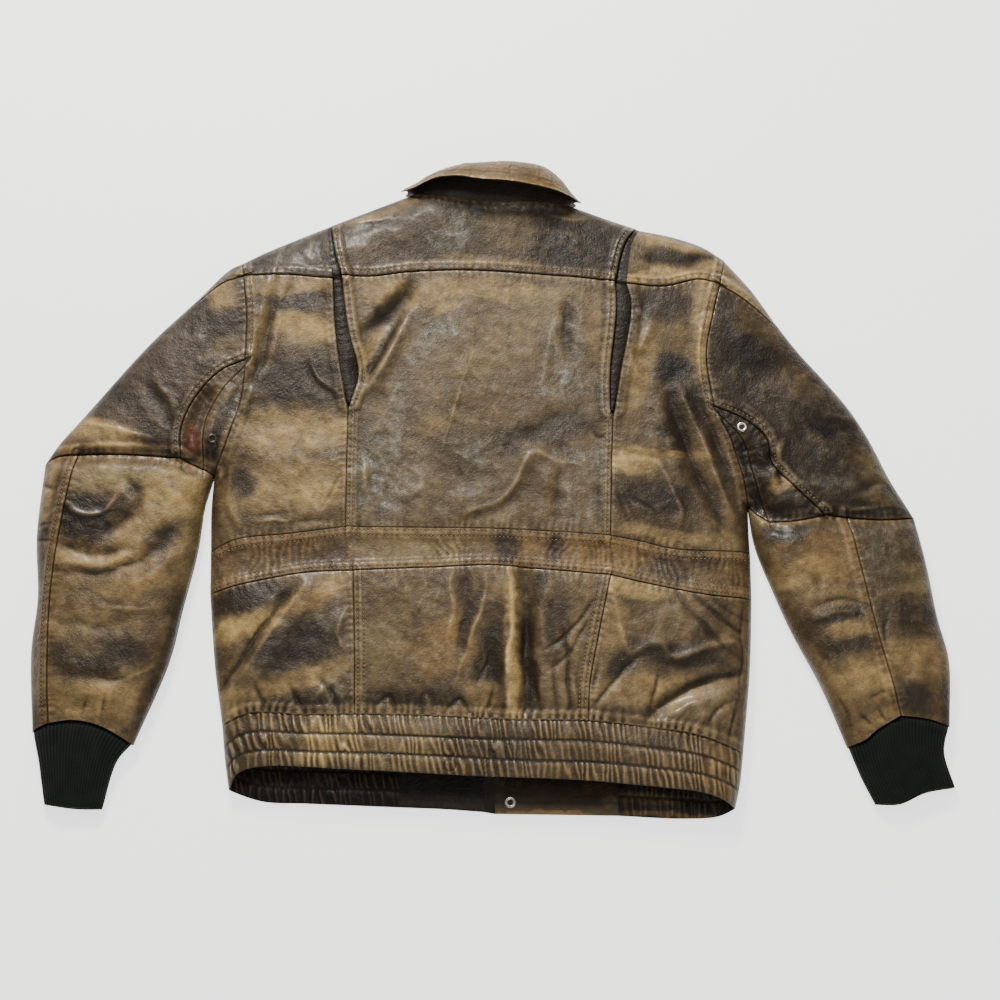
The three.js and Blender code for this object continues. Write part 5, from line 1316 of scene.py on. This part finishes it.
def upper_panel(name, foot, head, left, right, drop):
    """One panel of the back shell as a closed thin shell of hide."""
    plan, u, v = net(foot, head, left, right, SPACING.get(name, (1.5, 1.5)))
    x, y = plan[..., 0], plan[..., 1]
    z, distance = back_base(x, y, drop)
    base = np.dstack([x, y, z])
    height, rub_and_shading = relief(x, y)
    if name == "hem_band_back":
        ridges, worn_and_shaded = gathers(x, y, v)
        height, rub_and_shading = 0.5 * height + ridges + ringed(x, y), rub_and_shading + worn_and_shaded
    if name == "waist_strip":
        height = height + crinkles(x, y, v)
    fade = np.clip(distance / 10, 0, 1)
    height = height * fade
    outer = base + [0, 0, 1] * height[..., None]
    inner = base + [0, 0, 1] * lowest(height, STEP)[..., None] - 1.5 * facing(base)
    hide, gloss = painted(name, x, y)
    # Painted shade: the colour darkens by up to a quarter towards the rolled edge.
    edge = 1 - ease(2, 16, distance)
    hide = hide * (1 - 0.25 * edge[..., None])
    # Pleat inlays take their seams' rub and a flat darkening all over, painted shade deep in the pleat; other panels
    # take wear and painted shade from their shape.
    wear = 1.4 * rub_and_shading - 0.3 if name.startswith("pleat") else wear_and_shading_from_shape(height, rub_and_shading)
    piece = shell(name + "_hide", outer, inner, hide, wear, gloss, HIDE)
    rests = ["front_left", "front_right"]
    if name.startswith(("sleeve", "gusset")):
        rests = ["sleeve_under_" + name.rsplit("_")[-1]]
    if name.startswith("forearm"):
        rests = ["forearm_under_" + name.rsplit("_")[-1]]
    gathered = name == "hem_band_back"
    cloth(base, name, "gathered" if gathered else "laid", 1.25 if gathered else 1.02)
    turned = np.cross(plan[:-1, 1:] - plan[:-1, :-1], plan[1:, :-1] - plan[:-1, :-1])
    turned = turned * np.sign(turned.mean()) < 0
    print(f"{name}: {x.shape[1]} by {x.shape[0]} points, {int(turned.sum())} cells turned over")
    return piece


for entry in back_panels():
    upper_panel(*entry)

# %% [markdown]
# ## The front, beneath
# The jacket rests on its front, so the lower shell is flat on the surface and only its inner
# side can be glimpsed at the hem and the neck. It is cut in the same pieces, with a coarser net.

# %% Panels of the lower side


def straight(a, b):
    return smooth([a[:2], b[:2]])


def under_panel(name, foot, head, left, right, material=None, seen=False, spacing=(6, 6),
                detail=None):
    """A panel that lies on the surface. Where its inner side is seen, that is the fine side."""
    plan, u, v = net(foot, head, left, right, spacing, -0.3)
    x, y = plan[..., 0], plan[..., 1]
    z, distance = front_base(x, y)
    down = np.dstack([x, y, z])
    n = facing(down)
    height = 0.25 * clouds(x, y, 30, 71) * np.clip(distance / 10, 0, 1) + 0.25
    rub_and_shading = np.zeros(x.shape)
    if detail:
        height, rub_and_shading = detail(x, y, u, v, height)
    up = down + n * WALL + [0, 0, 1] * (height * np.clip(distance / 6, 0.15, 1))[..., None]
    hide, gloss = painted(name, x, y)
    finish = material or HIDE
    if seen:
        piece = shell(name + "_hide", up, down, hide, wear_and_shading_from_shape(height, rub_and_shading), gloss, finish)
    else:
        piece = shell(name + "_hide", down, up, hide, np.zeros(x.shape), gloss, finish)
    gathered = name.startswith("hem_band")
    cloth(down, name, "gathered" if gathered else "laid", 1.2 if gathered else 1.0)
    return piece


def gathered_inside(x, y, u, v, height):
    """The inner side of the front's gathered band, with the same close gathers."""
    ridges, worn_and_shaded = gathers(x, y, v)
    return 0.4 + 0.5 * (ridges + 1.2), worn_and_shaded * 0.6


def pebbled(x, y, u, v, height):
    """A lined facing: nearly flat, with a soft roll at its foot."""
    return height + 0.5 * np.exp(-((v - 0.12) / 0.12) ** 2), 0.3 * np.exp(-((v - 0.06) / 0.06) ** 2)


def tabbed(x, y, u, v, height):
    """The smooth tab: a rolled foot whose dye has rubbed away, and a row of stitches above."""
    roll = np.exp(-(v / 0.09) ** 2)
    return height + 0.6 * np.exp(-((v - 0.1) / 0.1) ** 2), 1.5 * roll - 0.5 * np.exp(-((v - 0.2) / 0.03) ** 2)


for s, half in HALVES.items():
    elbow = joined(run(s, "elbow_out"), straight(half["elbow_out"][-1], half["elbow_pit"][-1]))
    heads = "-gusset_head_lower -gusset_head_upper"
    under_panel(f"sleeve_under_{s}", elbow, run(s, "-armhole_top"), run(s, "-upper_out -sleeve_top"),
                run(s, f"-armhole_low {heads} -armhole_mid"))
    under_panel(f"forearm_under_{s}", run(s, "cuff_line_out cuff_line_in"), elbow, run(s, "-fore_out"),
                run(s, "-fore_in"))
    centre, neck_foot = half["front_hem_end"][-1], half["front_neck"][-1]
    under_panel(f"front_{s}", run(s, "front_hem front_hem_end"),
                joined(run(s, "-shoulder_out -pleat_top -shoulder_in"), run(s, "front_neck")),
                run(s, f"-side_low -side_strip -side_high -armhole_low {heads} -armhole_mid -armhole_top"),
                straight(centre, neck_foot), spacing=(5, 5))
    under_panel(f"hem_band_front_{s}", run(s, "front_low"), run(s, "front_hem"), run(s, "-side_hem"),
                straight(half["front_low"][-1], half["front_hem"][-1]), seen=True,
                spacing=(1.2, 2.0), detail=gathered_inside)
    left_half = s == "left"
    under_panel("hem_facing" if left_half else "hem_tab", run(s, "front_low_end"), run(s, "front_hem_end"),
                straight(half["front_low_end"][0], half["front_hem_end"][0]),
                straight(half["front_low_end"][-1], centre),
                PEBBLED if left_half else HIDE, True, (1.5, 1.5), detail=pebbled if left_half else tabbed)
    under_panel(f"collar_front_{s}", run(s, "front_neck"), run(s, "front_collar"),
                straight(half["front_neck"][0], half["front_collar"][0]),
                straight(neck_foot, half["front_collar"][-1]), seen=True, spacing=(2, 2))
low = [HALVES[s]["front_low_end"][-1] for s in HALVES]
top = [HALVES[s]["front_neck"][-1] for s in HALVES]
under_panel("front_zip", straight(low[0], low[1]), straight(top[0], top[1]), straight(low[0], top[0]),
            straight(low[1], top[1]), TAPE, spacing=(1.2, 6))
print("pieces so far:", len(CUT))

# %% [markdown]
# ## Rib cuffs
# A knitted cuff is a tube of wool ribs that grips the wrist. Pressed flat it is a squared oval
# in section. Its ribs run the length of the cuff, and it is drawn in where the sleeve is
# gathered on to it.

# %% Knitted cuffs
TUCKED, FLATNESS = 3.0, 0.7
CUFF_START, CUFF_END, CUFF_WALL = 26.0, 17.0, 2.5


def rib_cuff(side):
    """A tube on a Coons patch: the share across is half less half the cosine of the angle, and
    the height is a power of its sine. Ribs are a cosine of the distance round."""
    half = HALVES[side]
    shift = lambda p: [p[0], p[1] + TUCKED]
    start = smooth([shift(p) for p in half["cuff_line_out"] + half["cuff_line_in"][1:]])
    ends = [smooth([shift(half[n][0])] + half[n][1:])[:, :2] for n in ("cuff_out", "cuff_in")]
    stop = smooth(half["cuff_end"])[:, :2]
    cols, rows = 320, 49
    angle = np.arange(cols) / cols * 2 * np.pi
    v = np.linspace(0, 1, rows)[:, None]
    sine = np.sign(np.sin(angle)) * np.abs(np.sin(angle)) ** FLATNESS

    def tube(shrink):
        share = 0.5 - np.cos(angle) * (0.5 - shrink / np.linalg.norm(stop[-1] - stop[0]))
        a, b = share[None, :, None], v[..., None]
        plan = ((1 - b) * along(start, share) + b * along(stop, share)
                + (1 - a) * along(ends[0], v[:, 0])[:, None] + a * along(ends[1], v[:, 0])[:, None]
                - (1 - a) * (1 - b) * start[0] - a * (1 - b) * start[-1] - (1 - a) * b * stop[0] - a * b * stop[-1])
        tall = CUFF_START + (CUFF_END - CUFF_START) * v - 5 * np.exp(-(v / 0.07) ** 2)
        return np.dstack([plan, tall / 2 + (tall / 2 - shrink) * sine])

    inner = tube(CUFF_WALL)
    body = tube(0.5)
    step = np.linalg.norm(np.diff(body[rows // 2], axis=0, append=body[rows // 2][:1]), axis=1)
    around = np.cumsum(step) / step.sum()
    ribs = round(step.sum() / 3.2)
    wave = np.abs(np.sin(np.pi * ribs * around + 0.5 * noise(around * 90, v * 20 + 0 * around, 12, 81)))
    out = np.cross(np.gradient(body, axis=1), np.gradient(body, axis=0))
    out *= np.sign(out[:, cols // 4, 2].mean()) / (np.linalg.norm(out, axis=-1, keepdims=True) + 1e-12)
    sag = 0.5 * clouds(body[..., 0], body[..., 1], 24, 82)
    height = 0.55 * wave + sag * (body[..., 2] > 8) - 0.5 * np.exp(-(v / 0.04) ** 2)
    outer = body + out * (height * np.clip(body[..., 2] / 4, 0, 1))[..., None]
    # The knit's colour is lighter on each rib's crest and darker between ribs: painted light and shade.
    hide = np.broadcast_to(TONES["cuff"], outer.shape) * (0.3 + 1.5 * wave + 0.3 * noise(outer[..., 0], outer[..., 1], 9, 83))[..., None]
    piece = shell(f"rib_cuff_{side}_knit", outer, inner, hide, wave - 0.5, np.zeros(wave.shape), KNIT, True)
    closed = np.concatenate([body, body[:, :1]], axis=1)
    cloth(closed, f"rib_cuff_{side}", "gathered", 1.1)
    return ribs


print("ribs:", [rib_cuff(s) for s in HALVES])

# %% [markdown]
# ## The turned collar
# A shirt collar is a stand, sewn round the neck, and a leaf that turns over it. Seen from the
# back, the leaf hangs over the stand with a rounded fold on top, and its thin lip throws a line
# of shade on the stand.

# %% Collar
FOLD_RADIUS, COLLAR_BULGE = 5.0, 9.0
TURN_OUT, CROWN_AT, CROWN_OUT = 0.4, 0.55, 0.8


def collar():
    """Stand: straight lines from neck to crease. Leaf: for each place along it, a cubic Bezier
    curve from the crease, out over the fold, to the lip."""
    shares = np.linspace(0, 1, 241)
    neck = along(smooth(NECK)[:, :2], shares)
    x, y = neck.T
    z, distance = back_base(x, y)
    z += relief(x, y)[0] * np.clip(distance / 10, 0, 1) - 0.3
    neck = np.column_stack([x, y - 0.8, z - 0.8])
    fold, lip = along(smooth(COLLAR_FOLD), shares), along(smooth(COLLAR_LIP), shares)
    gap = np.linalg.norm(fold - neck, axis=1, keepdims=True)
    crease = fold + (neck - fold) * FOLD_RADIUS / (gap + FOLD_RADIUS)
    swell = COLLAR_BULGE * np.sin(np.pi * shares)[:, None] ** 0.5
    away = (fold - neck) * [1, 1, 0]
    away /= np.linalg.norm(away, axis=1, keepdims=True)
    t = np.linspace(0, 1, 21)[:, None, None]
    stand = neck + (crease - neck) * t
    t = np.linspace(0, 1, 61)[:, None, None]
    ends = (crease + 0.3 * away, fold + TURN_OUT * swell * away,
            fold + (lip - fold) * CROWN_AT + swell * CROWN_OUT * np.array([0, 1, 1]), lip)
    leaf = sum(c * (1 - t) ** (3 - k) * t**k * p for k, (c, p) in enumerate(zip((1, 3, 3, 1), ends)))
    return stand, leaf, shares


def collar_piece(name, grid, shares, above, held):
    """A collar part with its thickness laid above or below the CAD surface."""
    n = facing(grid)
    if n[..., 2].mean() * (1 if above else -1) < 0:
        n = -n
    x, y = grid[..., 0], grid[..., 1]
    up = np.linspace(0, 1, grid.shape[0])[:, None]
    height = 0.7 * clouds(x, y * 2.2, 28, 91) + 0.3 * clouds(x, y * 2.5, 9, 92)
    height -= 0.5 * (1 - ridged(x, up * 36 + 0.1 * x, 15, 93)) * (up > 0.2)
    # Painted highlight along the leaf's lip, with a darker stitched line a little in from it.
    rub_and_shading = 0.9 * np.exp(-((1 - up) / 0.035) ** 2) - 0.15 * np.exp(-((1 - up - 0.16) / 0.02) ** 2)
    rub_and_shading = rub_and_shading * (name == "collar_leaf") + 0.0 * x
    height -= 0.3 * np.exp(-((1 - up - 0.16) / 0.03) ** 2) * (name == "collar_leaf")
    hide, gloss = painted("collar" if name == "collar_leaf" else "stand", x, y)
    if name == "collar_leaf":
        streak = clouds(x, up * 60, 14, 94)
        hide = hide * (1 + 0.28 * streak)[..., None]
    outer = grid + n * (WALL + height[..., None]) if above else grid + n * (0.4 * height[..., None])
    inner = grid if above else grid - n * WALL
    piece = shell(name + "_hide", outer, inner, hide, wear_and_shading_from_shape(height, rub_and_shading), gloss, HIDE)
    cloth(grid, name, held)


stand_grid, leaf_grid, shares = collar()
collar_piece("collar_stand", stand_grid, shares, False, "folded")
collar_piece("collar_leaf", leaf_grid, shares, True, "folded")

# %% [markdown]
# ## Topstitching
# Thick waxed thread sits on the hide in short raised stitches that sink into it at both ends.
# Each is twelve points, repeated along every stitched seam, laid on the same surface that the
# panels were made from. They are joined into two meshes, for the back and for the sleeves.

# %% Stitches


def surface(x, y):
    """The visible height of the back at plan points, and its slope's unit normal."""
    def high(a, b):
        z, distance = back_base(a, b)
        return z + relief(a, b)[0] * np.clip(distance / 10, 0, 1)
    z = high(x, y)
    step = 1.2
    nx, ny = (high(x - step, y) - high(x + step, y)) / 2.4, (high(x, y - step) - high(x, y + step)) / 2.4
    n = np.column_stack([nx, ny, np.ones(len(x))])
    return z, n / np.linalg.norm(n, axis=1, keepdims=True)


def stitch_mesh(name, rows, pitch=4.4, size=(3.0, 0.85, 0.55), material=None):
    """Stitches along offset lines: three rings of four points each, the end rings small."""
    places, heads = [], []
    for line, offset in rows:
        total = length(line)
        count = max(2, int(total / pitch))
        at = (np.arange(count) + 0.5) / count
        p, q = along(line, at - 0.2 / count), along(line, at + 0.2 / count)
        t = (q - p)[:, :2]
        t /= np.linalg.norm(t, axis=1, keepdims=True)
        places.append(((p + q) / 2)[:, :2] + offset * np.column_stack([-t[:, 1], t[:, 0]]))
        heads.append(t)
    place, head = np.vstack(places), np.vstack(heads)
    z, n = surface(*place.T)
    along_ = np.column_stack([head, np.zeros(len(head))])
    along_ -= n * (along_ * n).sum(1, keepdims=True)
    along_ /= np.linalg.norm(along_, axis=1, keepdims=True)
    side = np.cross(n, along_)
    centre = np.column_stack([place, z])
    sections = []
    for share, full, lift in ((-0.5, 0.45, -0.1), (0.0, 1.0, 0.25), (0.5, 0.45, -0.1)):
        for a, b in ((-0.5, 0), (0, 0.5), (0.5, 0), (0, -0.5)):
            sections.append(centre + along_ * size[0] * share + side * size[1] * a * full
                            + n * (size[2] * b * full + lift))
    points = np.stack(sections, 1).reshape(-1, 3)
    base = 12 * np.arange(len(place))[:, None, None]
    ringed_ = [[4 * k + j, 4 * k + (j + 1) % 4, 4 * k + 4 + (j + 1) % 4, 4 * k + 4 + j] for k in (0, 1) for j in range(4)]
    one = np.array(ringed_ + [[3, 2, 1, 0], [8, 9, 10, 11]])
    piece = solid(name, points, [(base + one).reshape(-1, 4)], material or THREAD, sharp=2.0)
    print(name, len(place), "stitches")
    return piece


SLEEVE_SEAMS = ("armhole", "gusset_arc", "elbow", "forearm", "sleeve_strip")
rows = {"back": [], "sleeves": []}
for name, curve, lapped, distances, lap in SEAMS:
    if name == "armhole_low":
        continue
    for d in distances:
        rows["sleeves" if name in SLEEVE_SEAMS else "back"].append((curve[:, :2], lapped * d))
CHANNELS = [[[-278, -274], [-150, -276], [-50, -276], [0, -279], [75, -282], [175, -290], [225, -297], [255, -306]],
            [[-277, -290], [-175, -293], [-60, -296], [0, -299], [75, -303], [150, -310], [200, -315], [252, -328]]]
stitch_mesh("stitches_back", rows["back"])
stitch_mesh("stitches_sleeves", rows["sleeves"])

# %% [markdown]
# ## Eyelets and the ring snap
# The underarm eyelets are pressed nickel rings, one bright and one tarnished, and the hem tab
# carries the ring half of a snap. Each is a profile turned about the line that stands on the
# leather.

# %% Metal rings


def ring_piece(name, node, place, normal, outside, hole, high, material):
    """A profile turned about the normal: a rounded top between the hole and the outside."""
    bend = np.linspace(0, np.pi, 11)
    middle, wide = (outside + hole) / 2, (outside - hole) / 2
    r = np.r_[hole, middle - wide * np.cos(bend), outside]
    h = np.r_[-0.4, high * np.sin(bend) ** 0.7 + 0.05, -0.4]
    angle = np.arange(48) / 48 * 2 * np.pi
    side = np.cross(normal, [0.0, 1.0, 0.0])
    side /= np.linalg.norm(side)
    up = np.cross(normal, side)
    circle = np.cos(angle)[:, None] * side + np.sin(angle)[:, None] * up
    points = place + r[:, None, None] * circle + h[:, None, None] * normal
    rows_, cols_ = points.shape[:2]
    index = np.arange(rows_ * cols_).reshape(rows_, cols_)
    index = np.vstack([index, index[:1]])
    index = np.hstack([index, index[:, :1]])
    faces = quads(index)
    centre = points.reshape(-1, 3)[faces].mean(1)
    a, b, c = (points.reshape(-1, 3)[faces[:, k]] for k in (0, 1, 2))
    if ((np.cross(b - a, c - a)) * (centre - (place + middle * (centre - place)
            / (np.linalg.norm(centre - place, axis=1, keepdims=True) + 1e-9)))).sum() < 0:
        faces = faces[:, ::-1]
    piece = solid(name, points.reshape(-1, 3), [faces], material, sharp=1.2)
    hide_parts(node)
    return piece


for s, finish in (("left", TARNISH), ("right", NICKEL)):
    x, y = (np.array([c], float) for c in HALVES[s]["eyelet"][:2])
    z, n = surface(x, y)
    ring_piece(f"eyelet_{s}_ring", f"eyelet_{s}", np.array([x[0], y[0], z[0]]), n[0], 5.6, 2.6, 1.1, finish)
ring_piece("hem_snap_ring", "hem_snap", np.array([SNAP[0], SNAP[1], 3.0]), np.array([0.0, 0.0, 1.0]), 6.2, 2.6, 1.5, NICKEL)

# %% [markdown]
# ## Floor, light and camera
# The jacket lies on a plain pale surface. A broad soft lamp beyond the collar glances off the
# waxed hide, which is what shows its creases, and the sky fills the shade. The camera looks
# down, tilted a little from the hem.

# %% Stage
paper = Finish("pale_paper")
paper_material = paper.skin(None, **{"Base Color": rgba(tone(232, 231, 229)), "Roughness": 0.9, "Specular IOR Level": 0.2,
    "Emission Color": (0.97, 0.995, 1.0, 1.0), "Emission Strength": 1.7})
mesh = bpy.data.meshes.new("floor")
mesh.from_pydata([(-6, -6, 0), (6, -6, 0), (6, 6, 0), (-6, 6, 0)], [], [(0, 1, 2, 3)])
mesh.materials.append(paper_material)
floor = bpy.data.objects.new("floor", mesh)
bpy.context.scene.collection.objects.link(floor)

world = bpy.data.worlds.new("studio")
world.use_nodes = True
sky = world.node_tree.nodes["Background"]
sky.inputs["Color"].default_value = (1.0, 0.97, 0.92, 1.0)
sky.inputs["Strength"].default_value = 0.3
bpy.context.scene.world = world


def lamp(name, place, size, watts, colour=(1, 1, 1)):
    """A square soft lamp aimed at the middle of the garment."""
    light = bpy.data.lights.new(name, "AREA")
    light.shape, light.size, light.energy, light.color = "SQUARE", size, watts, colour
    made = bpy.data.objects.new(name, light)
    made.location = place
    away = Vector(place)
    made.rotation_euler = away.to_track_quat("Z", "Y").to_euler()
    bpy.context.scene.collection.objects.link(made)


lamp("over_collar", (-0.5, 1.75, 1.55), 0.55, 80, (1.0, 0.95, 0.87))
lamp("window", (-0.1, 0.78, 2.3), 0.4, 9, (0.97, 0.99, 1.0))
lamp("from_hem", (0.9, -1.6, 1.6), 1.2, 8, (1.0, 0.98, 0.95))

TILT, FAR = np.radians(15), 2.4
target = np.array([0.01123, -0.02204, 0.020])
camera = bpy.data.objects.new("camera", bpy.data.cameras.new("camera"))
camera.data.lens, camera.data.sensor_width = 78.5, 36
camera.location = target + FAR * np.array([0, -np.sin(TILT), np.cos(TILT)])
camera.rotation_euler = (TILT, 0, 0)
bpy.context.scene.collection.objects.link(camera)
bpy.context.scene.camera = camera

# %% Sizes, and the close
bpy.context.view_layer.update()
triangles = sum(len(p.vertices) - 2 for o in bpy.data.objects if o.type == "MESH" and o.name.endswith(
    ("_hide", "_knit", "_ring")) for p in o.data.polygons)
print("triangles:", triangles)
for node, (w, l, area, held) in sorted(CUT.items()):
    print(f"{node}: {w * 1000:.0f} by {l * 1000:.0f} mm, {area * 1e4:.0f} cm2, {held}")
